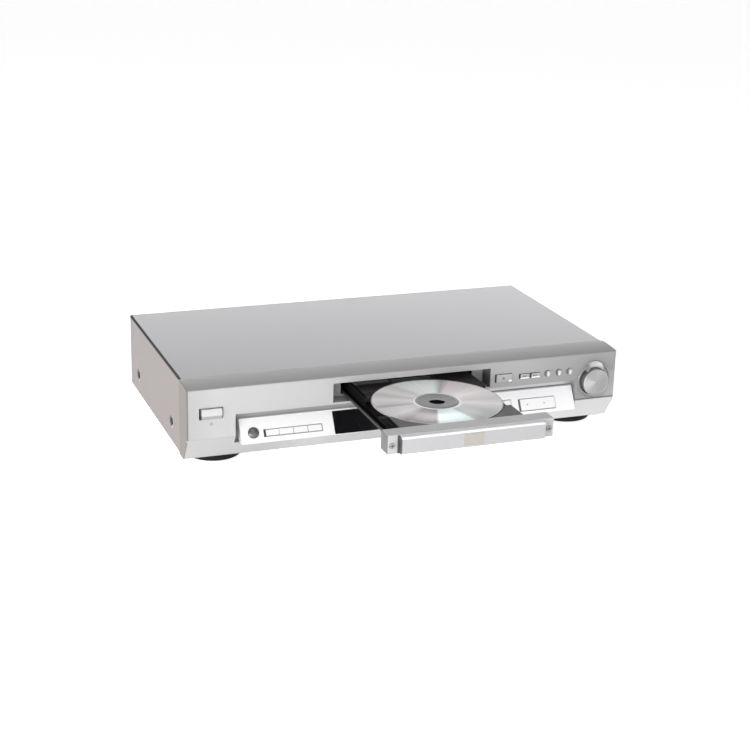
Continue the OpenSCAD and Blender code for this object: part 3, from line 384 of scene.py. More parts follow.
@dataclass(frozen=True)
class Finish:
    """A surface finish, from its colour and gloss down to its grain and its edges, with wear and painted
    light and shade.

    Names that end in mm and um give millimetres and thousandths of one. The mottle and the gloss spread
    say how uneven the colour and the gloss are. The edge wear and light says how much lighter or darker
    the edges are: worn edges, painted highlights along edges and painted shade in the gaps round keys.
    The fan gives painted highlights and shade on a turned face, as places in turns with their levels.
    """

    name: str
    colour: Rgb
    metallic: float = 0.0
    roughness: float = 0.45
    coat: float = 0.0
    coat_roughness: float = 0.08
    grain: Grain = Grain.MOULDED
    grain_mm: float = 0.4
    depth_um: float = 6.0
    mottle: float = 0.02
    mottle_mm: float = 40.0
    smudge_share: float = 0.35      # a smudge's size, as a share of a mottle's
    gloss_spread: float = 0.02
    least_roughness: float = 0.02
    edge_wear_and_light: float = 0.10
    edge_floor: float = 0.01        # what the edge lightening adds to the very darkest paints
    edge_share: float = 0.8
    edge_mm: float = 0.25
    anisotropy: float = 0.0
    specular: float = 0.5
    axis: Point = (0.0, 0.0, 0.0)
    fan: tuple[tuple[float, float], ...] = ()
    shades: tuple[Shade, ...] = ()

    def turned_fan(self, s: Shader) -> Socket:
        """Painted highlights and shade on a turned face, as sectors by the angle about the finish's axis.

        Args:
            s: The material's helper.

        Returns:
            The sectors as a grey colour.
        """
        place = s.axes(s.coords(origin=self.axis))
        ramp = s.add("ShaderNodeValToRGB")
        s.link(s.turns(place[2], place[0]), ramp.inputs[0])
        fill_ramp(ramp, [(where, (level, level, level)) for where, level in self.fan])
        return ramp.outputs["Color"]

    def ring_height(self, s: Shader, fine: float) -> Socket:
        """Fine turned rings about the finish's axis point, whose turning axis is Y.

        Args:
            s: The material's helper.
            fine: One over the rings' spacing in metres.

        Returns:
            The height, between 0 and 1.
        """
        radius = s.length(s.coords((1.0, 0.0, 1.0), self.axis))
        ring = s.add("ShaderNodeCombineXYZ")
        s.link(radius, ring.inputs[0])
        return s.noise(ring.outputs[0], fine, rough=0.6)

    def weave_height(self, s: Shader, fine: float) -> Socket:
        """The slanted weave of glass-fibre board.

        Args:
            s: The material's helper.
            fine: One over the size of the finest thread in metres.

        Returns:
            The height, between 0 and 1.
        """
        weave = s.add("ShaderNodeTexWave", wave_type="BANDS", bands_direction="DIAGONAL")
        s.link(s.coords(), weave.inputs["Vector"])
        weave.inputs["Scale"].default_value = fine / 8.0
        weave.inputs["Distortion"].default_value = 3.0
        return weave.outputs["Fac"]

    def pitted_height(self, s: Shader, fine: float) -> Socket:
        """The rounded pits of a moulded surface, with a finer roughness over them.

        Args:
            s: The material's helper.
            fine: One over the size of a pit in metres.

        Returns:
            The height, between 0 and 1.
        """
        pits = s.add("ShaderNodeTexVoronoi", feature="F1")
        s.link(s.coords(), pits.inputs["Vector"])
        pits.inputs["Scale"].default_value = fine
        rounded = s.math("MULTIPLY", pits.outputs["Distance"], 0.5)
        return s.math("ADD", rounded, s.noise(s.coords(), fine * 1.7))

    def grain_height(self, s: Shader) -> Socket:
        """The height of the surface's grain.

        Args:
            s: The material's helper.

        Returns:
            The height, between 0 and 1.
        """
        fine = 1.0 / (self.grain_mm * MM)
        if self.grain is Grain.BRUSHED:
            return s.noise(s.coords((0.02, 1.0, 1.0)), fine, 4.0, 0.65)
        if self.grain is Grain.SPUN:
            return self.ring_height(s, fine)
        if self.grain is Grain.PEEL:
            return s.noise(s.coords(), fine, 1.5, 0.4)
        if self.grain is Grain.SMOOTH:
            return s.noise(s.coords(), fine / 6.0, 1.0, 0.3)
        if self.grain is Grain.FIBRE:
            return self.weave_height(s, fine)
        return self.pitted_height(s, fine)

    def mottled(self, s: Shader, edge: Socket) -> Socket:
        """The finish's colour, slightly uneven all over, and lighter or darker along its edges as wear and
        painted light and shade.

        Args:
            s: The material's helper.
            edge: The mask of the edges.

        Returns:
            The colour's socket.
        """
        wander = s.noise(s.coords(), 1.0 / (self.mottle_mm * MM), 4.0, 0.6)
        dark = lit(self.colour, 1.0 - self.mottle)
        light = lit(self.colour, 1.0 + self.mottle)
        body = s.blend(s.spread(wander, 0.0, 1.0), dark, light)
        lifted = tuple(c * (1.0 + self.edge_wear_and_light) + self.edge_floor * self.edge_wear_and_light for c in self.colour)
        return s.blend(s.math("MULTIPLY", edge, self.edge_share), body, lit(lifted, 1.0))

    def shaded(self, s: Shader, colour: Socket) -> tuple[Socket, Socket | None]:
        """Lays the finish's painted light and shade over a colour.

        Args:
            s: The material's helper.
            colour: The colour.

        Returns:
            The new colour, and the share of gloss that dull shades leave, where there are any.
        """
        gloss = None
        for shade in self.shades:
            inside = shade.mask(s)
            colour = shade.apply(s, colour, inside)
            if shade.dull:
                left = s.math("SUBTRACT", 1.0, inside)
                gloss = left if gloss is None else s.math("MULTIPLY", gloss, left)
        return colour, gloss

    def build(self) -> bpy.types.Material:
        """Makes the node material.

        Returns:
            The finished material.
        """
        s = Shader(self.name)
        p = s.surface
        normal, edge = s.edge_mask(self.edge_mm * MM)
        colour = self.mottled(s, edge)
        if self.fan:
            colour = s.blend(1.0, colour, self.turned_fan(s), "MULTIPLY")
        colour, gloss = self.shaded(s, colour)
        s.feed(p, "Base Color", colour)
        for socket, level in (("Metallic", self.metallic), ("Specular IOR Level", self.specular)):
            s.feed(p, socket, level if gloss is None else s.math("MULTIPLY", gloss, level))
        smudge = s.noise(s.coords(), 1.0 / (self.mottle_mm * self.smudge_share * MM), 5.0, 0.7)
        low = max(self.least_roughness, self.roughness - self.gloss_spread)
        s.feed(p, "Roughness", s.spread(smudge, low, self.roughness + self.gloss_spread))
        p.inputs["Coat Weight"].default_value = self.coat
        p.inputs["Coat Roughness"].default_value = self.coat_roughness
        p.inputs["Anisotropic"].default_value = self.anisotropy
        if self.anisotropy:
            s.turned_about("Y")
        s.link(s.relief(self.grain_height(s), self.depth_um * MICRON, normal), p.inputs["Normal"])
        return s.material


@dataclass(frozen=True)
class DiscFinish:
    """The metallised underside of a disc seen through its clear plastic, as rings about an axis.

    The four sizes are the radii where the clear hub, the pale ring round it, the tracks and the silver
    rim end. The colours are those of the tracks' fan of painted coloured reflections, and then those of the
    rings.
    """

    name: str
    centre: Point
    hub_mm: float = 20.0
    band_mm: float = 22.6
    rim_mm: float = 58.6
    edge_mm: float = 59.45
    # silver to pale: the colours of the painted reflections in the tracks' fan; silver also colours the rim
    silver: Rgb = (0.59, 0.575, 0.585)
    dusk: Rgb = (0.155, 0.115, 0.112)
    bright: Rgb = (0.76, 0.74, 0.75)
    rose: Rgb = (0.60, 0.53, 0.55)
    sea: Rgb = (0.50, 0.55, 0.55)
    shadow: Rgb = (0.40, 0.41, 0.42)
    aqua: Rgb = (0.90, 0.99, 0.97)
    white: Rgb = (0.95, 1.0, 1.0)
    pale: Rgb = (0.68, 0.82, 0.82)
    hub: Rgb = (0.22, 0.23, 0.235)
    hub_edge: Rgb = (0.90, 0.87, 0.89)
    edge: Rgb = (0.22, 0.215, 0.22)
    haze: Rgb = (0.4, 0.4, 0.4)
    haze_share: float = 0.06
    metallic: float = 0.10
    hub_roughness: float = 0.20
    roughness: float = 0.34
    specular: float = 0.2
    anisotropy: float = 0.6
    coat: float = 0.03
    coat_roughness: float = 0.04
    streak_levels: Span = (0.88, 1.08)
    streaks_round: float = 120.0
    groove_scale: float = 400.0
    groove_um: float = 2.0

    def fan(self, s: Shader, angle: Socket) -> Socket:
        """The painted coloured reflections that the disc's tracks spread, as a fan by angle.

        Args:
            s: The material's helper.
            angle: The angle about the disc's axis, in turns.

        Returns:
            The fan's colour.
        """
        ramp = s.add("ShaderNodeValToRGB")
        s.link(angle, ramp.inputs[0])
        fill_ramp(ramp, (
            (0.00, self.shadow), (0.015, lit(self.silver, 1.15)), (0.07, self.silver), (0.11, self.dusk),
            (0.187, self.dusk), (0.194, self.pale), (0.286, self.pale), (0.296, lit(self.sea, 0.7)),
            (0.312, lit(self.shadow, 0.75)), (0.325, lit(self.sea, 0.75)), (0.37, lit(self.silver, 0.75)),
            (0.39, self.sea), (0.435, lit(self.bright, 1.1)), (0.48, lit(self.silver, 1.15)),
            (0.55, lit(self.bright, 1.3)), (0.60, lit(self.silver, 1.45)), (0.655, lit(self.rose, 1.45)),
            (0.676, lit(self.shadow, 1.2)), (0.700, self.aqua), (0.75, self.white), (0.80, self.aqua),
            (0.825, lit(self.silver, 1.35)), (0.87, lit(self.bright, 1.3)), (0.905, lit(self.silver, 1.3)),
            (0.94, lit(self.bright, 1.3)), (0.98, lit(self.silver, 1.2)), (1.00, self.shadow),
        ))
        return ramp.outputs["Color"]

    def streaks(self, s: Shader, angle: Socket) -> Socket:
        """Fine painted streaks of reflection that run out from the hub.

        Args:
            s: The material's helper.
            angle: The angle about the disc's axis, in turns.

        Returns:
            The streaks as a grey colour.
        """
        around = s.add("ShaderNodeCombineXYZ")
        s.link(angle, around.inputs[0])
        level = s.spread(s.noise(around.outputs[0], self.streaks_round, rough=0.7), *self.streak_levels)
        grey = s.add("ShaderNodeCombineColor")
        for socket in range(3):
            s.link(level, grey.inputs[socket])
        return grey.outputs[0]

    def step(self, s: Shader, radius: Socket, edge_mm: float, soft_mm: float = 0.3) -> Socket:
        """0 inside a radius and 1 outside it."""
        return s.spread(radius, 0.0, 1.0, (edge_mm - soft_mm / 2, edge_mm + soft_mm / 2))

    def build(self) -> bpy.types.Material:
        """Makes the node material.

        Returns:
            The finished material.
        """
        s = Shader(self.name)
        p = s.surface
        flat = s.coords((1.0, 1.0, 0.0), self.centre)
        place = s.axes(flat)
        angle = s.turns(place[1], place[0])
        radius = s.length(s.coords((1.0 / MM, 1.0 / MM, 0.0), self.centre))
        band = self.step(s, radius, self.hub_mm)
        data = self.step(s, radius, self.band_mm)
        tracks = s.blend(1.0, self.fan(s, angle), self.streaks(s, angle), "MULTIPLY")
        colour = s.blend(band, self.hub, self.hub_edge)
        colour = s.blend(data, colour, tracks)
        colour = s.blend(self.step(s, radius, self.rim_mm), colour, self.silver)
        colour = s.blend(self.step(s, radius, self.edge_mm), colour, self.edge)
        haze = s.spread(s.noise(flat, 60.0, 2.0), 0.0, self.haze_share)
        s.feed(p, "Base Color", s.blend(haze, colour, self.haze))
        s.feed(p, "Metallic", s.spread(band, 0.0, self.metallic, (0.0, 1.0)))
        s.feed(p, "Roughness", s.spread(data, self.hub_roughness, self.roughness, (0.0, 1.0)))
        p.inputs["Specular IOR Level"].default_value = self.specular
        p.inputs["Anisotropic"].default_value = self.anisotropy
        p.inputs["Coat Weight"].default_value = self.coat
        p.inputs["Coat Roughness"].default_value = self.coat_roughness
        s.turned_about("Z")
        rings = s.add("ShaderNodeTexWave", wave_type="RINGS", rings_direction="Z")
        s.link(flat, rings.inputs["Vector"])
        rings.inputs["Scale"].default_value = self.groove_scale
        s.link(s.relief(rings.outputs["Fac"], self.groove_um * MICRON), p.inputs["Normal"])
        return s.material


# ---------------------------------------------------------------- painted light and shade of each piece


BEFORE_Y = FACE_Y - 0.01        # in front of the face
SKIN_Y = FACE_Y + 0.0005        # parts the face from what lies behind it
STEP_Y = FACE_Y + 0.0007        # where the recess and the apron start
DEEP_Y = FACE_Y + 0.03          # behind the whole recess
KEY_TIP_Y = -0.06               # in front of every key
KEY_BACK_Y = FACE_Y - 0.0004    # parts a key's front from its walls
KEY_DEEP_Y = -0.04              # behind every key
PAST_END_X = 0.30               # past either end of the cabinet
CREASE_Z = 0.0306               # the crease between the face and the apron below it
PANEL_TOP_Z = 0.079
KEY_LEFT_X = (0.0856, 0.1108, 0.1224)       # the left ends of three keys in a row
MODE_KEY_X = (0.1414, 0.1533, 0.1649)       # the centres of three round keys

# The cover: a painted dark reflection along its long left bend, with no gloss there, and painted warm shade
# on its left side
COVER_EDGE = Shade((-0.2145, -0.1, 0.0766), (-0.2122, 0.3, 0.0800), 0.25, 0.30, dull=True)
COVER_SIDE = Shade((-0.2145, -0.1, 0.0), (-0.2130, 0.3, 0.0765), (0.75, 0.665, 0.64), 0.2)

# The front panel's left end: a painted shade line down its upright corner, and painted shade on its left
# side
PANEL_EDGE = Shade((-0.2155, FACE_Y - 0.001, 0.0300), (-0.2138, FACE_Y + 0.0018, 0.0778), 0.36, 0.2)
PANEL_SIDE = Shade((-0.2155, FACE_Y + 0.0016, 0.0), (-0.2143, FACE_Y + 0.04, 0.080),
                   (0.39, 0.355, 0.335), 0.2)

# The recess that holds the console: painted shade on its top and left walls, a painted shade line along the
# console's top, and painted light on its right part
RECESS_TOP = Shade((-0.1725, STEP_Y, 0.0427), (0.02, DEEP_Y, 0.0514), 0.75, 0.3, soft_x_mm=15)
RECESS_RIGHT = Shade((0.05, STEP_Y, 0.0441), (0.169, DEEP_Y, 0.0514), 1.65, 0.3, soft_x_mm=6)
RECESS_LINE = Shade((0.05, FACE_Y + 0.004, 0.0425), (0.1765, DEEP_Y, 0.0440), 0.45, 0.2, soft_x_mm=15)
RECESS_LEFT = Shade((-0.1702, BEFORE_Y, 0.0310), (-0.1655, DEEP_Y, 0.0427), 0.55, 3.0, soft_x_mm=0.1)

# The upright face: painted light on its left part and its lower right corner, and painted shade on its
# right part and far left end
FACE_LEFT = Shade((-PAST_END_X, BEFORE_Y, CREASE_Z), (-0.03, SKIN_Y, PANEL_TOP_Z), 1.16, 0.3, soft_x_mm=60)
FACE_RIGHT = Shade((0.150, BEFORE_Y, CREASE_Z), (PAST_END_X, SKIN_Y, PANEL_TOP_Z), 0.80, 0.3, soft_x_mm=35)
FACE_END = Shade((-PAST_END_X, BEFORE_Y, CREASE_Z), (-0.200, SKIN_Y, PANEL_TOP_Z), 0.88, 0.3, soft_x_mm=12)
FACE_CORNER = Shade((0.2040, BEFORE_Y, CREASE_Z), (PAST_END_X, FACE_Y + 0.004, 0.057), 1.3, 3.0)

# The apron below the crease: painted light along it, and a painted shade line along the crease at the right
APRON_LEFT = Shade((-PAST_END_X, STEP_Y, 0.0), (-0.165, DEEP_Y, 0.0300), 1.06, 0.3, soft_x_mm=10)
APRON_MID = Shade((-0.12, STEP_Y, 0.0), (0.04, DEEP_Y, 0.0260), 1.18, 0.3, soft_x_mm=20)
APRON_RIGHT = Shade((0.12, BEFORE_Y, 0.0), (PAST_END_X, DEEP_Y, 0.0298), 1.55, 0.2, soft_x_mm=20)
CREASE_LINE = Shade((0.165, BEFORE_Y, 0.0299), (PAST_END_X, STEP_Y, 0.0316), 0.45, 0.15, soft_x_mm=12)

# The drawer's slot: painted light on its left wall, and painted shade on its right wall
SLOT_WALL = Shade((-0.079, STEP_Y, 0.0555), (-0.075, FACE_Y + 0.017, 0.0720), 1.9, 0.5)
SLOT_RIGHT = Shade((0.0795, STEP_Y, 0.0525), (0.0835, FACE_Y + 0.0175, 0.0720), 0.30, 0.3)

# The console and the keys on it: the drawer's painted shadow on the console's top strip, with no gloss
# there, painted light over its right end, and painted shade at the key ends and along the rocker's foot
CONSOLE_SHADE = Shade((-0.05, -0.06, 0.0412), (0.07, -0.03, 0.0440), 0.03, 0.2, dull=True, soft_x_mm=8)
CONSOLE_RIGHT = Shade((0.07, -0.1, 0.0), (0.3, 0.1, 0.08), 1.36, 0.5, soft_x_mm=20)
STRIP_END = Shade((-0.1430, KEY_TIP_Y, 0.020), (-0.1413, KEY_DEEP_Y, 0.036), 0.06, 0.1)
ROCKER_END = Shade((0.1132, KEY_TIP_Y, 0.020), (0.1147, KEY_DEEP_Y, 0.040), 0.20, 0.1)
ROCKER_FOOT = Shade((0.1132, KEY_TIP_Y, 0.020), (0.1510, KEY_DEEP_Y, 0.0251), 0.18, 0.1)

# The drawer's front and its proud plate: painted light on the front and the plate's flat top, painted shade
# on the left side, beside the plate and on the plate's left end, and a painted highlight along the plate's
# top edge
BEZEL_FRONT = Shade((-0.08, -0.2, 0.05), (0.085, -0.1891, 0.075), 1.20, 0.1)
BEZEL_GAP = Shade((-0.0667, -0.2, 0.05), (-0.0645, -0.1885, 0.070), 0.16, 0.1)
BEZEL_SIDE = Shade((-0.08, -0.2, 0.05), (-0.0755, -0.17, 0.075), 0.30, 0.1)
PLATE_TOP = Shade((-0.075, -0.199, 0.0682), (0.08, -0.1937, 0.0715), 2.8, 0.25)
PLATE_DECK = Shade((-0.075, -0.1937, 0.0676), (0.08, -0.1893, 0.0715), 2.0, 0.1)
PLATE_END = Shade((-0.0652, -0.199, 0.05), (-0.0648, -0.188, 0.0715), 0.15, 0.05)

# The tray: painted shade on its left rim and side, with no gloss there, a painted highlight on its outer
# ridge, and painted light on the deck behind and in front of the disc, with no gloss in front
TRAY_RIM = Shade((-0.0600, -0.18, 0.0655), (-0.0550, 0.01, 0.0670), 0.7, 0.2, dull=True)
TRAY_RIDGE = Shade((-0.0640, -0.18, 0.0550), (-0.0622, 0.01, 0.0655), 1.7, 0.2)
TRAY_SIDE = Shade((-0.0622, -0.18, 0.0550), (-0.0575, 0.01, 0.0655), 0.55, 0.2, dull=True)
TRAY_REAR = Shade((-0.0550, -0.048, 0.0655), (-0.02, 0.01, 0.0670), 16.0, 0.2)
TRAY_FRONT = Shade((-0.0550, -0.13, 0.0655), (0.0, -0.07, 0.0670), 3.5, 0.2, dull=True)

# The keys on the upright face: painted shade on the power key's lower part, on the key walls, at the keys'
# left ends and beside the round keys; painted highlights along the skip keys' feet, at the open/close key's
# lower right and on the round keys
POWER_LOWER = Shade((-0.21, KEY_TIP_Y, 0.045), (-0.17, -0.045, 0.0527), 0.60, 0.4)
KEY_WALLS = Shade((0.08, KEY_BACK_Y, 0.045), (0.175, FACE_Y + 0.02, 0.075), 0.12, 0.1)
KEY_ENDS = tuple(
    Shade((x, KEY_TIP_Y, 0.055), (x + 0.0016, KEY_DEEP_Y, 0.066), 0.10, 0.1) for x in KEY_LEFT_X)
KEY_FEET = (
    Shade((0.1121, KEY_TIP_Y, 0.0570), (0.1335, KEY_BACK_Y, 0.0593), 2.6, 0.2),
    Shade((0.1000, KEY_TIP_Y, 0.0560), (0.1030, KEY_BACK_Y, 0.0585), 2.6, 0.2),
)
MODE_LIGHTS = tuple(
    Shade((x - 0.0006, KEY_TIP_Y, 0.0586), (x + 0.0012, KEY_BACK_Y, 0.0620), 1.9, 0.5) for x in MODE_KEY_X)
MODE_DARKS = tuple(
    Shade((x - 0.0033, KEY_TIP_Y, 0.0570), (x - 0.0014, KEY_BACK_Y, 0.0645), 0.40, 0.4) for x in MODE_KEY_X)

# The dial: painted shade on its left wall, and a painted highlight on the finger tab of the ring round it
KNOB_SIDE = Shade((0.1770, -0.0583, 0.034), (0.1850, -0.046, 0.060), 0.45, 0.1)
TAB_LIGHT = Shade((0.1842, -0.0575, 0.0640), (0.1977, -0.0500, 0.0705), 2.0, 0.8)

# Painted highlights and shade on the dial's turned face, as sectors by turns from its left
DIAL_FAN = ((0.0, 1.0), (0.06, 1.0), (0.14, 0.72), (0.30, 0.62), (0.55, 0.60), (0.72, 0.74), (0.80, 0.66),
            (0.90, 0.72), (0.97, 1.0), (1.0, 1.0))


# ---------------------------------------------------------------- the finishes themselves


COVER_PAINT = Finish(
    "cover_paint", (0.207, 0.206, 0.214), 0.45, 0.32, grain=Grain.PEEL, grain_mm=0.7, depth_um=0.12,
    mottle=0.006, mottle_mm=120, gloss_spread=0.006, edge_wear_and_light=0.05, shades=(COVER_EDGE, COVER_SIDE))
SHEET_STEEL = Finish(
    "sheet_steel", (0.50, 0.50, 0.50), 0.9, 0.38, grain=Grain.BRUSHED, grain_mm=0.3, depth_um=0.8,
    mottle=0.05, mottle_mm=25)
# The panel's lightened edges are painted highlights.
PANEL_PAINT = Finish(
    "panel_paint", (0.325, 0.323, 0.325), 0.05, 0.38, specular=0.22, grain=Grain.PEEL, grain_mm=0.5,
    depth_um=0.15, mottle=0.006, mottle_mm=90, gloss_spread=0.01, edge_wear_and_light=0.45, edge_mm=0.5,
    shades=(PANEL_EDGE, PANEL_SIDE, RECESS_TOP, RECESS_RIGHT, RECESS_LINE, RECESS_LEFT, FACE_LEFT,
            FACE_RIGHT, FACE_END, FACE_CORNER, APRON_LEFT, APRON_MID, APRON_RIGHT, CREASE_LINE, SLOT_WALL,
            SLOT_RIGHT))
# The console's and its keys' darkened edges are painted shade in the gaps round the keys.
CONSOLE_PAINT = Finish(
    "console_paint", (0.68, 0.68, 0.685), 0.05, 0.32, specular=0.4, grain=Grain.PEEL, grain_mm=0.5,
    depth_um=0.4, mottle=0.008, mottle_mm=60, edge_wear_and_light=-0.6, edge_mm=0.5,
    shades=(CONSOLE_RIGHT, CONSOLE_SHADE))
CONSOLE_KEY = Finish(
    "console_key", (0.66, 0.66, 0.665), 0.05, 0.30, specular=0.4, grain=Grain.PEEL, grain_mm=0.4,
    depth_um=0.1, mottle=0.006, mottle_mm=12, edge_wear_and_light=-0.90, edge_mm=0.7,
    shades=(CONSOLE_RIGHT, STRIP_END, ROCKER_END, ROCKER_FOOT))
# The keys' darkened edges are painted shade in the gaps round them.
FACE_KEY = Finish(
    "face_key", (0.36, 0.36, 0.36), 0.1, 0.34, grain=Grain.PEEL, grain_mm=0.4, depth_um=0.1, mottle=0.006,
    mottle_mm=12, edge_wear_and_light=-0.55, edge_mm=0.45,
    shades=(KEY_WALLS, *KEY_ENDS, *KEY_FEET, *MODE_LIGHTS, *MODE_DARKS))
# The power key's darkened edges are painted shade in the gap round it.
POWER_KEY = Finish(
    "power_key_paint", (0.42, 0.42, 0.42), 0.05, 0.34, grain=Grain.PEEL, grain_mm=0.4, depth_um=0.1,
    mottle=0.006, mottle_mm=12, edge_wear_and_light=-0.45, edge_mm=0.5, shades=(POWER_LOWER,))
WINDOW_TINT = Finish(
    "window_tint", (0.006, 0.006, 0.007), 0.0, 0.08, specular=0.25, grain=Grain.SMOOTH, grain_mm=6,
    depth_um=0.3, mottle=0.2, mottle_mm=30, gloss_spread=0.02, edge_wear_and_light=0.5)
DARK_METAL = Finish(
    "dark_metal", (0.11, 0.11, 0.11), 0.4, 0.34, grain=Grain.SMOOTH, grain_mm=1.0, depth_um=0.6,
    mottle=0.05, mottle_mm=6, edge_wear_and_light=0.4)
SPUN_METAL = Finish(
    "spun_metal", (0.50, 0.50, 0.505), 0.5, 0.38, grain=Grain.SPUN, grain_mm=0.22, depth_um=1.2,
    mottle=0.02, mottle_mm=8, edge_wear_and_light=0.25, edge_mm=0.35, anisotropy=0.6, axis=DIAL_CENTRE,
    shades=(KNOB_SIDE,), fan=DIAL_FAN)
# The ring's darkened edges are painted shade in the gaps round it.
RING_METAL = Finish(
    "ring_metal", (0.28, 0.28, 0.285), 0.3, 0.38, specular=0.2, grain=Grain.SPUN, grain_mm=0.3,
    depth_um=0.5, mottle=0.02, mottle_mm=10, edge_wear_and_light=-0.5, edge_mm=0.4, axis=DIAL_CENTRE,
    shades=(TAB_LIGHT,))
BLACK_MOULDING = Finish(
    "black_moulding", (0.010, 0.010, 0.011), 0.0, 0.42, grain=Grain.MOULDED, grain_mm=0.5, depth_um=4,
    mottle=0.15, mottle_mm=20, edge_wear_and_light=1.2, edge_mm=0.3)
FOOT_BLACK = Finish(
    "foot_black", (0.004, 0.004, 0.004), 0.0, 0.55, specular=0.15, grain=Grain.MOULDED, grain_mm=0.5,
    depth_um=2, mottle=0.15, mottle_mm=20, edge_wear_and_light=1.0, edge_mm=0.3)
# The tray's strongly lightened edges are painted highlight lines.
TRAY_MOULDING = Finish(
    "tray_moulding", (0.013, 0.013, 0.0135), 0.0, 0.42, specular=0.22, grain=Grain.MOULDED, grain_mm=0.45,
    depth_um=1, mottle=0.10, mottle_mm=30, edge_wear_and_light=1.8, edge_mm=0.4,
    shades=(TRAY_RIM, TRAY_RIDGE, TRAY_SIDE, TRAY_REAR, TRAY_FRONT))
FOOT_RUBBER = Finish(
    "foot_rubber", (0.02, 0.02, 0.02), 0.0, 0.8, grain=Grain.RUBBER, grain_mm=0.6, depth_um=8, mottle=0.2,
    mottle_mm=15, edge_wear_and_light=0.8)
BLACKED_STEEL = Finish(
    "blacked_steel", (0.03, 0.03, 0.033), 0.8, 0.45, grain=Grain.SMOOTH, grain_mm=0.5, depth_um=1,
    mottle=0.2, mottle_mm=4, edge_wear_and_light=2.0, edge_mm=0.15)
# The screws' broad darkened edges are painted shade round each head and in its cross.
NICKEL = Finish(
    "nickel", (0.40, 0.40, 0.40), 0.4, 0.30, grain=Grain.SMOOTH, grain_mm=0.5, depth_um=0.8, mottle=0.05,
    mottle_mm=4, edge_wear_and_light=-0.97, edge_mm=1.1)
GREEN_BOARD = Finish(
    "green_board", (0.03, 0.17, 0.07), 0.0, 0.35, coat=0.3, grain=Grain.FIBRE, grain_mm=0.6, depth_um=4,
    mottle=0.15, mottle_mm=8)
BROWN_BOARD = Finish(
    "brown_board", (0.40, 0.25, 0.12), 0.0, 0.5, grain=Grain.FIBRE, grain_mm=0.8, depth_um=4, mottle=0.12,
    mottle_mm=10)
TUBE_GLASS = Finish(
    "tube_glass", (0.06, 0.08, 0.08), 0.0, 0.05, grain=Grain.SMOOTH, grain_mm=3, depth_um=0.5, mottle=0.2,
    mottle_mm=12)
CORE_STEEL = Finish(
    "core_steel", (0.32, 0.24, 0.13), 0.5, 0.5, grain=Grain.BRUSHED, grain_mm=0.5, depth_um=8,
    mottle=0.15, mottle_mm=10)
CAN_SLEEVE = Finish(
    "can_sleeve", (0.03, 0.04, 0.16), 0.0, 0.25, coat=0.4, grain=Grain.SMOOTH, grain_mm=2, depth_um=1,
    mottle=0.1, mottle_mm=10)
GILT = Finish(
    "gilt", (0.80, 0.58, 0.22), 1.0, 0.22, grain=Grain.SMOOTH, grain_mm=0.5, depth_um=0.6, mottle=0.05,
    mottle_mm=5)
NATURAL_ACETAL = Finish(
    "natural_acetal", (0.78, 0.74, 0.62), 0.0, 0.4, grain=Grain.MOULDED, grain_mm=0.6, depth_um=2,
    mottle=0.04, mottle_mm=10)
FLAT_CABLE = Finish(
    "flat_cable", (0.80, 0.80, 0.77), 0.0, 0.4, grain=Grain.BRUSHED, grain_mm=1.0, depth_um=20,
    mottle=0.05, mottle_mm=6)
LENS_GLASS = Finish(
    "lens_glass", (0.25, 0.40, 0.60), 0.0, 0.05, coat=1.0, grain=Grain.SMOOTH, grain_mm=2, depth_um=0.3,
    mottle=0.1, mottle_mm=3)
BEZEL_PAINT = Finish(
    "bezel_paint", (0.33, 0.33, 0.335), 0.05, 0.40, grain=Grain.PEEL, grain_mm=0.5, depth_um=0.5,
    mottle=0.03, mottle_mm=6, edge_wear_and_light=0.2, edge_mm=0.4, shades=(BEZEL_FRONT, BEZEL_GAP, BEZEL_SIDE))
PLATE_METAL = Finish(
    "plate_metal", (0.37, 0.37, 0.38), 0.1, 0.32, grain=Grain.BRUSHED, grain_mm=0.3, depth_um=0.1,
    mottle=0.006, mottle_mm=60, edge_wear_and_light=0.3, shades=(PLATE_TOP, PLATE_DECK, PLATE_END))
CREAM_PAINT = Finish(
    "cream_paint", (0.345, 0.328, 0.292), 0.1, 0.35, grain=Grain.PEEL, grain_mm=0.6, depth_um=0.5,
    mottle=0.04, mottle_mm=5, edge_wear_and_light=-0.5, edge_mm=0.35)
PRINT_INK = Finish(
    "print_ink", (0.05, 0.05, 0.055), 0.0, 0.5, grain=Grain.PEEL, grain_mm=0.3, depth_um=0.5, mottle=0.1,
    mottle_mm=3)

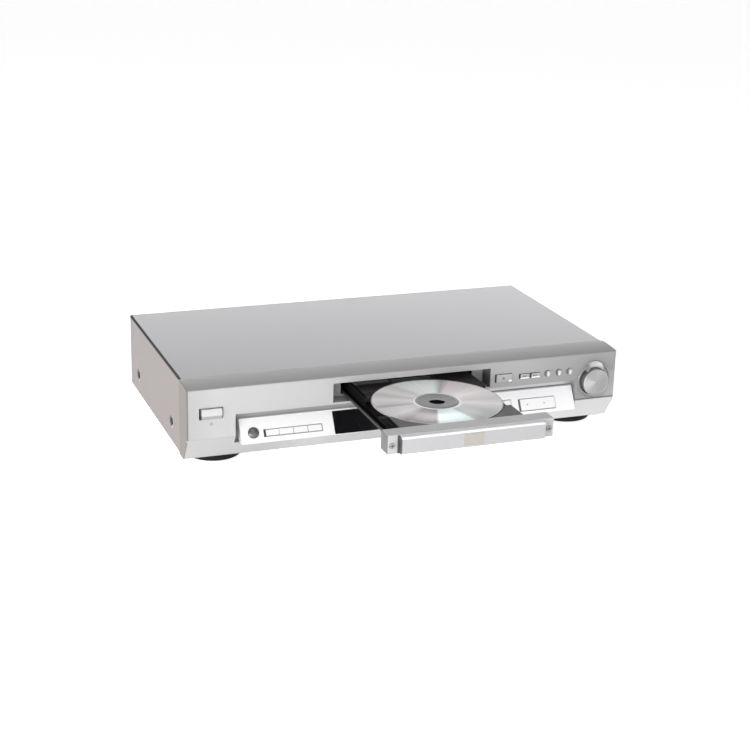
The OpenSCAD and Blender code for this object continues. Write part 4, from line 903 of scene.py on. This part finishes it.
NODE_FINISH: dict[Finish, tuple[str, ...]] = {
    COVER_PAINT: ("top_cover",),
    SHEET_STEEL: ("bottom_chassis", "rear_panel", "traverse_deck", "clamp_bridge", "loading_motor",
                  "spindle_motor", "feed_motor", "guide_rods"),
    PANEL_PAINT: ("front_panel",),
    CONSOLE_PAINT: ("control_panel",),
    CONSOLE_KEY: ("strip_key_a", "strip_key_b", "strip_key_c", "strip_key_d", "square_key", "rocker_key"),
    POWER_KEY: ("power_button",),
    FACE_KEY: ("open_close_button", "skip_back_key", "skip_next_key", "mode_button_a",
               "mode_button_b", "mode_button_c"),
    WINDOW_TINT: ("display_window",),
    DARK_METAL: ("round_button",),
    SPUN_METAL: ("jog_dial",),
    RING_METAL: ("shuttle_ring",),
    FOOT_BLACK: ("feet",),
    BLACK_MOULDING: ("power_switch", "mains_inlet", "signal_sockets", "loader_frame", "clamper",
                     "turntable", "pickup_sled"),
    TRAY_MOULDING: ("tray",),
    FOOT_RUBBER: ("foot_pads", "drive_belt"),
    BLACKED_STEEL: ("case_screws",),
    NICKEL: ("bezel_screws",),
    GREEN_BOARD: ("main_board", "av_board", "panel_board", "front_key_board"),
    BROWN_BOARD: ("power_board",),
    TUBE_GLASS: ("display_tube",),
    CORE_STEEL: ("transformer",),
    CAN_SLEEVE: ("capacitors",),
    GILT: ("phono_sockets", "motor_pulley"),
    NATURAL_ACETAL: ("pulley_gear", "drive_gear", "feed_gear"),
    FLAT_CABLE: ("ribbon_cable",),
    LENS_GLASS: ("pickup_lens",),
    BEZEL_PAINT: ("bezel",),
    PLATE_METAL: ("bezel_plate",),
    CREAM_PAINT: ("plaque",),
}


class Workshop:
    """Builds each material once and hands it out by finish."""

    def __init__(self) -> None:
        """Starts with no materials made."""
        self.made: dict[str, bpy.types.Material] = {}

    def material(self, finish: Finish | DiscFinish) -> bpy.types.Material:
        """The material of a finish, made on first use.

        Args:
            finish: The finish.

        Returns:
            Its material.
        """
        if finish.name not in self.made:
            self.made[finish.name] = finish.build()
        return self.made[finish.name]

    def dress(self, piece: bpy.types.Object, finish: Finish | DiscFinish) -> None:
        """Gives a piece one finish all over."""
        piece.data.materials.clear()
        piece.data.materials.append(self.material(finish))


# ---------------------------------------------------------------- mesh work


def piece_from(name: str, bm: bmesh.types.BMesh, smooth_deg: float = 35.0) -> bpy.types.Object:
    """Turns a bmesh into a shown object.

    Args:
        name: The piece's name.
        bm: The mesh, which is freed.
        smooth_deg: Faces that meet at less than this angle are shaded smooth.

    Returns:
        The new object, linked into the scene.
    """
    bmesh.ops.recalc_face_normals(bm, faces=bm.faces)
    for f in bm.faces:
        f.smooth = True
    for e in bm.edges:
        e.smooth = len(e.link_faces) == 2 and e.calc_face_angle(0.0) < math.radians(smooth_deg)
    mesh = bpy.data.meshes.new(name)
    bm.to_mesh(mesh)
    bm.free()
    made = bpy.data.objects.new(name, mesh)
    bpy.context.scene.collection.objects.link(made)
    log.info("made %s", name)
    return made


def lathe(bm: bmesh.types.BMesh, profile: Outline, origin: Vector, along: Vector, steps: int) -> None:
    """Turns a closed outline about an axis.

    Args:
        bm: The mesh that takes the faces.
        profile: Points of the outline, as radius and height in millimetres.
        origin: A point on the axis, in metres.
        along: The axis direction, which height is measured along.
        steps: Segments round the circle.
    """
    side = along.orthogonal().normalized()
    other = along.cross(side).normalized()
    rings = []
    for k in range(steps):
        angle = FULL_TURN * k / steps
        out = side * math.cos(angle) + other * math.sin(angle)
        rings.append([bm.verts.new(origin + out * (r * MM) + along * (h * MM)) for r, h in profile])
    for k in range(steps):
        ring, following = rings[k], rings[(k + 1) % steps]
        for i in range(len(profile)):
            j = (i + 1) % len(profile)
            bm.faces.new((ring[i], ring[j], following[j], following[i]))


def plate(bm: bmesh.types.BMesh, outline: Outline, origin: Vector, right: Vector, up: Vector,
          depth_mm: float) -> None:
    """Raises a flat outline into a thin plate.

    Args:
        bm: The mesh that takes the faces.
        outline: Points in the plane, anticlockwise, in millimetres.
        origin: The plane's origin, in metres.
        right: The direction of the outline's first number.
        up: The direction of its second number.
        depth_mm: The plate's thickness, raised towards right x up.
    """
    out = right.cross(up).normalized()
    low = [bm.verts.new(origin + right * (u * MM) + up * (v * MM)) for u, v in outline]
    high = [bm.verts.new(vertex.co + out * (depth_mm * MM)) for vertex in low]
    bm.faces.new(list(reversed(low)))
    bm.faces.new(high)
    for i in range(len(outline)):
        j = (i + 1) % len(outline)
        bm.faces.new((low[i], low[j], high[j], high[i]))


class Panel(Enum):
    """The two surfaces that marks lie on."""

    FACE = "upright front face"
    CONSOLE = "slanted console"

    def axes(self) -> tuple[Vector, Vector]:
        """The surface's right and up directions.

        Returns:
            Two unit vectors.
        """
        if self is Panel.FACE:
            return Vector((1, 0, 0)), Vector((0, 0, 1))
        return Vector((1, 0, 0)), Vector((0, math.sin(SLANT), math.cos(SLANT)))

    def point(self, x_mm: float, across_mm: float, out_mm: float) -> Vector:
        """A point on or above the surface.

        Args:
            x_mm: Distance to the right of the cabinet's centre.
            across_mm: Height above the floor on the face, distance down the slope on the console.
            out_mm: Distance out of the surface.

        Returns:
            The point in metres.
        """
        right, up = self.axes()
        out = right.cross(up)
        if self is Panel.FACE:
            base = Vector((x_mm * MM, FACE_Y, across_mm * MM))
        else:
            base = CONSOLE_TOP + Vector((x_mm * MM, 0, 0)) - up * (across_mm * MM)
        return base + out * (out_mm * MM)


# ---------------------------------------------------------------- pieces


@dataclass
class CarriedNodes:
    """The machined and moulded pieces that keep their own meshes."""

    shop: Workshop

    def dress(self, nodes: dict[str, bpy.types.Object]) -> None:
        """Gives each node its finish.

        Args:
            nodes: The frame's nodes by name.
        """
        for finish, names in NODE_FINISH.items():
            for name in names:
                self.shop.dress(nodes[name], finish)
                log.info("dressed %s with %s", name, finish.name)


@dataclass
class Disc:
    """The disc on the tray, turned from one profile."""

    shop: Workshop
    outer_mm: float = 59.9
    hole_mm: float = 7.5
    thick_mm: float = 1.2
    hole_bevel_mm: float = 0.15
    rim_bevel_mm: float = 0.25
    ring_mm: float = 21.25              # the middle of the shallow ring pressed round the hub
    ring_half_mm: float = 0.95
    ring_floor_half_mm: float = 0.65
    ring_depth_mm: float = 0.12
    ridge_mm: float = 17.2              # the middle of the stacking ridge
    ridge_half_mm: float = 0.5
    ridge_crest_half_mm: float = 0.2
    ridge_rise_mm: float = 0.18
    steps: int = 192
    smooth_deg: float = 30.0

    def profile(self) -> Outline:
        """The disc's section, with rounded rims and the stacking ridge near the hub.

        Returns:
            The outline as radius and height, in millimetres.
        """
        top = self.thick_mm
        hole, hole_bevel = self.hole_mm, self.hole_bevel_mm
        outer, rim_bevel = self.outer_mm, self.rim_bevel_mm
        ring, floor = self.ring_mm, top - self.ring_depth_mm
        ridge, crest = self.ridge_mm, top + self.ridge_rise_mm
        return [
            (hole, hole_bevel), (hole + hole_bevel, 0.0), (outer - rim_bevel, 0.0),
            (outer, rim_bevel), (outer, top - rim_bevel), (outer - rim_bevel, top),
            (ring + self.ring_half_mm, top), (ring + self.ring_floor_half_mm, floor),
            (ring - self.ring_floor_half_mm, floor), (ring - self.ring_half_mm, top),
            (ridge + self.ridge_half_mm, top), (ridge + self.ridge_crest_half_mm, crest),
            (ridge - self.ridge_crest_half_mm, crest), (ridge - self.ridge_half_mm, top),
            (hole + hole_bevel, top), (hole, top - hole_bevel),
        ]

    def build(self) -> bpy.types.Object:
        """Makes the disc where the frame's disc lies.

        Returns:
            The disc.
        """
        low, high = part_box("disc")
        centre = Vector(((low[0] + high[0]) / 2, (low[1] + high[1]) / 2, low[2]))
        bm = bmesh.new()
        lathe(bm, self.profile(), centre, Vector((0, 0, 1)), self.steps)
        made = piece_from("silver_disc", bm, self.smooth_deg)
        self.shop.dress(made, DiscFinish("disc_layers", tuple(centre)))
        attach(made, "disc")
        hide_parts("disc")
        return made


@dataclass
class KeyMarks:
    """Small raised pictograms on the keys and the panel.

    Each place is x, the distance across and the height above the surface, in millimetres.
    """

    shop: Workshop
    thick_mm: float = 0.05
    arrow_mm: float = 1.6
    near_arrow_mm: float = 0.2      # from a skip mark's middle to its first arrow
    far_arrow_mm: float = 1.4       # to its second arrow one way, and to its stop bar the other way
    stop_mm: float = 0.4
    eject_half_mm: float = 1.3
    eject_rise_mm: float = 1.5
    eject_bar_mm: float = 0.5
    eject_bar_drop_mm: float = 0.7
    pointer_mm: float = 1.5
    pointer_left_mm: float = -10.7
    pointer_right_mm: float = 7.6
    line_mm: float = 0.35
    eject_at: Point = (94.5, 60.4, 0.79)
    back_at: Point = (116.2, 60.6, 0.69)
    next_at: Point = (127.8, 60.6, 0.69)
    rocker_at: Point = (132.5, 14.7, 0.89)
    standby_at: Point = (-192.5, 44.4, -0.01)

    def mark(self, name: str, body: str, panel: Panel, place: Point,
             outlines: Sequence[Outline]) -> bpy.types.Object:
        """Makes one mark from flat outlines.

        Args:
            name: The piece's name.
            body: The body that it rides on.
            panel: The surface that it lies on.
            place: x, distance across and height above the surface, in millimetres.
            outlines: Its shapes, in millimetres.

        Returns:
            The mark.
        """
        right, up = panel.axes()
        origin = panel.point(*place)
        bm = bmesh.new()
        for outline in outlines:
            plate(bm, outline, origin, right, up, self.thick_mm)
        made = piece_from(name, bm)
        self.shop.dress(made, PRINT_INK)
        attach(made, body)
        return made

    def triangle(self, x: float, size: float, way: int) -> Outline:
        """A triangle about a place on the middle line.

        Args:
            x: The triangle's middle.
            size: Its width and height.
            way: 1 where it points to +x, and -1 where it points to -x.

        Returns:
            The outline, anticlockwise.
        """
        points = [(x - way * size / 2, h) for h in (-size / 2, size / 2)]
        points.insert(1, (x + way * size / 2, 0.0))
        return points if way > 0 else list(reversed(points))

    def bar(self, x: float, y: float, w: float, h: float) -> Outline:
        """An upright rectangle about a centre."""
        left, right, low, high = x - w / 2, x + w / 2, y - h / 2, y + h / 2
        return [(left, low), (right, low), (right, high), (left, high)]

    def eject(self) -> list[Outline]:
        """A triangle that points up, over a bar.

        Returns:
            The two outlines.
        """
        half = self.eject_half_mm
        arrow = [(-half, 0.0), (half, 0.0), (0.0, self.eject_rise_mm)]
        return [arrow, self.bar(0.0, -self.eject_bar_drop_mm, 2 * half, self.eject_bar_mm)]

    def skip(self, way: int) -> list[Outline]:
        """Two triangles and the bar that they run against.

        Args:
            way: 1 where they point to +x, and -1 where they point to -x.

        Returns:
            The three outlines.
        """
        size = self.arrow_mm
        places = (self.near_arrow_mm, -self.far_arrow_mm)
        arrows = [self.triangle(way * place, size, way) for place in places]
        return [*arrows, self.bar(way * self.far_arrow_mm, 0.0, self.stop_mm, size)]

    def pointers(self) -> list[Outline]:
        """Two triangles that point away from each other."""
        left, right = self.pointer_left_mm, self.pointer_right_mm
        return [self.triangle(left, self.pointer_mm, -1), self.triangle(right, self.pointer_mm, 1)]

    def standby(self) -> list[Outline]:
        """A short upright bar in a square frame that is open at its top."""
        sides = [self.bar(x, -0.2, self.line_mm, 1.5) for x in (-1.1, 1.1)]
        return [self.bar(0.0, 0.4, 0.4, 1.6), self.bar(0.0, -1.1, 1.8, self.line_mm), *sides]

    def build(self) -> list[bpy.types.Object]:
        """Makes every mark.

        Returns:
            The marks.
        """
        key, console_key, face = "key_plastic", "console_key_plastic", Panel.FACE
        return [
            self.mark("eject_mark", "open_close_key", face, self.eject_at, self.eject()),
            self.mark("skip_back_mark", "skip_back", face, self.back_at, self.skip(-1)),
            self.mark("skip_next_mark", "skip_next", face, self.next_at, self.skip(1)),
            self.mark("rocker_marks", "rocker", Panel.CONSOLE, self.rocker_at, self.pointers()),
            self.mark("standby_mark", "cabinet", face, self.standby_at, self.standby()),
        ]


@dataclass
class SocketCollars:
    """The coloured plastic collars that the phono barrels stand in."""

    shop: Workshop
    barrel_mm: float = 4.2
    collar_mm: float = 6.2
    proud_mm: float = 1.3
    bevel_mm: float = 0.4
    steps: int = 48
    places: dict[str, tuple[float, float]] = field(default_factory=lambda: {
        "red": (112, 50), "white": (112, 30), "yellow": (132, 50), "black": (132, 30)})
    colours: dict[str, Rgb] = field(default_factory=lambda: {
        "red": (0.55, 0.03, 0.03), "white": (0.75, 0.75, 0.72), "yellow": (0.75, 0.55, 0.05),
        "black": (0.03, 0.03, 0.03)})

    def profile(self) -> Outline:
        """A collar's section, bevelled at its outer rim.

        Returns:
            The outline as radius and height, in millimetres.
        """
        return [
            (self.barrel_mm, 0.0), (self.collar_mm, 0.0), (self.collar_mm, self.proud_mm - self.bevel_mm),
            (self.collar_mm - self.bevel_mm, self.proud_mm), (self.barrel_mm, self.proud_mm),
        ]

    def build(self) -> list[bpy.types.Object]:
        """Makes the four collars on the rear panel.

        Returns:
            The collars.
        """
        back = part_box("rear_panel")[1][1]
        made = []
        for name, (x, z) in self.places.items():
            bm = bmesh.new()
            lathe(bm, self.profile(), Vector((x * MM, back, z * MM)), Vector((0, 1, 0)), self.steps)
            collar = piece_from(f"{name}_collar", bm)
            finish = Finish(f"{name}_collar_plastic", self.colours[name], 0.0, 0.35, mottle_mm=4,
                            edge_wear_and_light=0.3, depth_um=4)
            self.shop.dress(collar, finish)
            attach(collar, "cabinet")
            made.append(collar)
        return made


# ---------------------------------------------------------------- studio


@dataclass(frozen=True)
class Camera:
    """A perspective camera given by its place and its three turns."""

    place: Point = (-0.5405, -1.383375, 0.5591)
    azimuth_deg: float = -20.73
    elevation_deg: float = 18.74
    roll_deg: float = 1.48
    focal_px: float = 1625.7
    frame_px: float = 750.0
    sensor_mm: float = 36.0
    near: float = 0.05
    far: float = 50.0

    def build(self) -> bpy.types.Object:
        """Makes the camera and makes it the scene's own.

        Returns:
            The camera.
        """
        az, el, roll = (math.radians(a) for a in (self.azimuth_deg, self.elevation_deg, self.roll_deg))
        ahead = Vector((-math.sin(az) * math.cos(el), math.cos(az) * math.cos(el), -math.sin(el)))
        level = Vector((math.cos(az), math.sin(az), 0.0))
        rise = level.cross(ahead)
        right = level * math.cos(roll) + rise * math.sin(roll)
        up = rise * math.cos(roll) - level * math.sin(roll)
        data = bpy.data.cameras.new("studio_camera")
        data.sensor_width = self.sensor_mm
        data.lens = self.focal_px / self.frame_px * self.sensor_mm
        data.clip_start = self.near
        data.clip_end = self.far
        made = bpy.data.objects.new("studio_camera", data)
        turn = Matrix((right, up, -ahead)).transposed()
        made.matrix_world = Matrix.Translation(Vector(self.place)) @ turn.to_4x4()
        bpy.context.scene.collection.objects.link(made)
        bpy.context.scene.camera = made
        return made


@dataclass(frozen=True)
class Softbox:
    """A rectangular soft light that faces a point."""

    name: str
    place: Point
    target: Point
    size: tuple[float, float]
    power: float
    colour: Rgb = WHITE

    def build(self) -> bpy.types.Object:
        """Makes the light and turns it to its target.

        Returns:
            The light.
        """
        data = bpy.data.lights.new(self.name, "AREA")
        data.shape = "RECTANGLE"
        data.size, data.size_y = self.size
        data.energy = self.power
        data.color = self.colour
        made = bpy.data.objects.new(self.name, data)
        aim = Vector(self.target) - Vector(self.place)
        made.rotation_euler = aim.to_track_quat("-Z", "Y").to_euler()
        made.location = self.place
        bpy.context.scene.collection.objects.link(made)
        return made


@dataclass
class Studio:
    """The floor, the pale surroundings and the softboxes."""

    floor_half: float = 6.0
    floor_colour: Rgb = (0.90, 0.90, 0.90)
    floor_mottle: float = 0.015
    floor_glow: float = 0.62
    floor_roughness: float = 0.9
    floor_specular: float = 0.1
    tint: Rgb = (0.985, 0.985, 1.0)
    sky: tuple[tuple[float, float], ...] = (
        (0.0, 5.2), (0.22, 5.2), (0.30, 0.42), (0.47, 0.38), (0.58, 0.02), (1.0, 0.01))
    fade_span: Span = (-0.3, 1.3)       # from the rear left round to the front right
    far_corner: float = 0.4
    lights: tuple[Softbox, ...] = (
        Softbox("near_light", (-0.66, -0.68, 0.16), (-0.1, 0.0, 0.04), (0.5, 0.25), 4.5),
        Softbox("front_light", (0.1, -1.9, 1.1), (0.0, 0.0, 0.03), (1.0, 0.8), 5.0),
        Softbox("side_light", (-1.7, 0.2, 0.8), (0.0, 0.0, 0.03), (0.8, 0.8), 10.6, (1.0, 0.86, 0.76)),
        Softbox("overhead_light", (0.0, -0.7, 1.6), (0.0, -0.1, 0.03), (1.2, 0.5), 6.0),
    )

    def paper(self) -> bpy.types.Material:
        """The floor's pale paper.

        Returns:
            Its material.
        """
        s = Shader("floor_paper")
        p = s.surface
        wander = s.noise(s.coords(), 3.0, 2.0)
        shaded = lit(self.floor_colour, 1.0 - self.floor_mottle)
        s.feed(p, "Base Color", s.blend(s.spread(wander, 0.0, 1.0), shaded, self.floor_colour))
        p.inputs["Emission Strength"].default_value = self.floor_glow
        p.inputs["Emission Color"].default_value = (*WHITE, 1.0)
        p.inputs["Roughness"].default_value = self.floor_roughness
        p.inputs["Specular IOR Level"].default_value = self.floor_specular
        return s.material

    def floor(self) -> bpy.types.Object:
        """The plain pale floor.

        Returns:
            The floor.
        """
        bm = bmesh.new()
        h = self.floor_half
        bm.faces.new([bm.verts.new((x, y, 0.0)) for x, y in ((-h, -h), (h, -h), (h, h), (-h, h))])
        made = piece_from("studio_floor", bm)
        made.data.materials.append(self.paper())
        return made

    def surroundings(self) -> bpy.types.World:
        """The pale walls and ceiling, bright low down and dimmer towards the front right.

        Returns:
            The world.
        """
        world = bpy.data.worlds.new("studio_sky")
        world.use_nodes = True
        nodes = world.node_tree.nodes
        links = world.node_tree.links
        back = nodes["Background"]
        parts = nodes.new("ShaderNodeSeparateXYZ")
        links.new(nodes.new("ShaderNodeTexCoord").outputs["Generated"], parts.inputs[0])
        ramp = nodes.new("ShaderNodeValToRGB")
        links.new(parts.outputs[2], ramp.inputs[0])
        fill_ramp(ramp, [(height, tuple(level * c for c in self.tint)) for height, level in self.sky])
        links.new(ramp.outputs["Color"], back.inputs["Color"])
        aside = nodes.new("ShaderNodeMath")
        aside.operation = "SUBTRACT"
        links.new(parts.outputs[0], aside.inputs[0])
        links.new(parts.outputs[1], aside.inputs[1])
        fade = nodes.new("ShaderNodeMapRange")
        links.new(aside.outputs[0], fade.inputs["Value"])
        fade.inputs["From Min"].default_value = self.fade_span[0]
        fade.inputs["From Max"].default_value = self.fade_span[1]
        fade.inputs["To Min"].default_value = 1.0
        fade.inputs["To Max"].default_value = self.far_corner
        links.new(fade.outputs["Result"], back.inputs["Strength"])
        return world

    def build(self) -> None:
        """Makes the surroundings and sets plain colour handling."""
        scene = bpy.context.scene
        scene.world = self.surroundings()
        scene.view_settings.view_transform = "Standard"
        scene.view_settings.look = "None"
        self.floor()
        for light in self.lights:
            light.build()
        log.info("studio ready")


def main() -> None:
    """Builds the player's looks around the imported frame."""
    logging.basicConfig(level=logging.INFO, format="%(name)s: %(message)s")
    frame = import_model()
    Camera().build()
    Studio().build()
    shop = Workshop()
    CarriedNodes(shop).dress(frame["nodes"])
    Disc(shop).build()
    KeyMarks(shop).build()
    SocketCollars(shop).build()


if __name__ == "__main__":
    main()
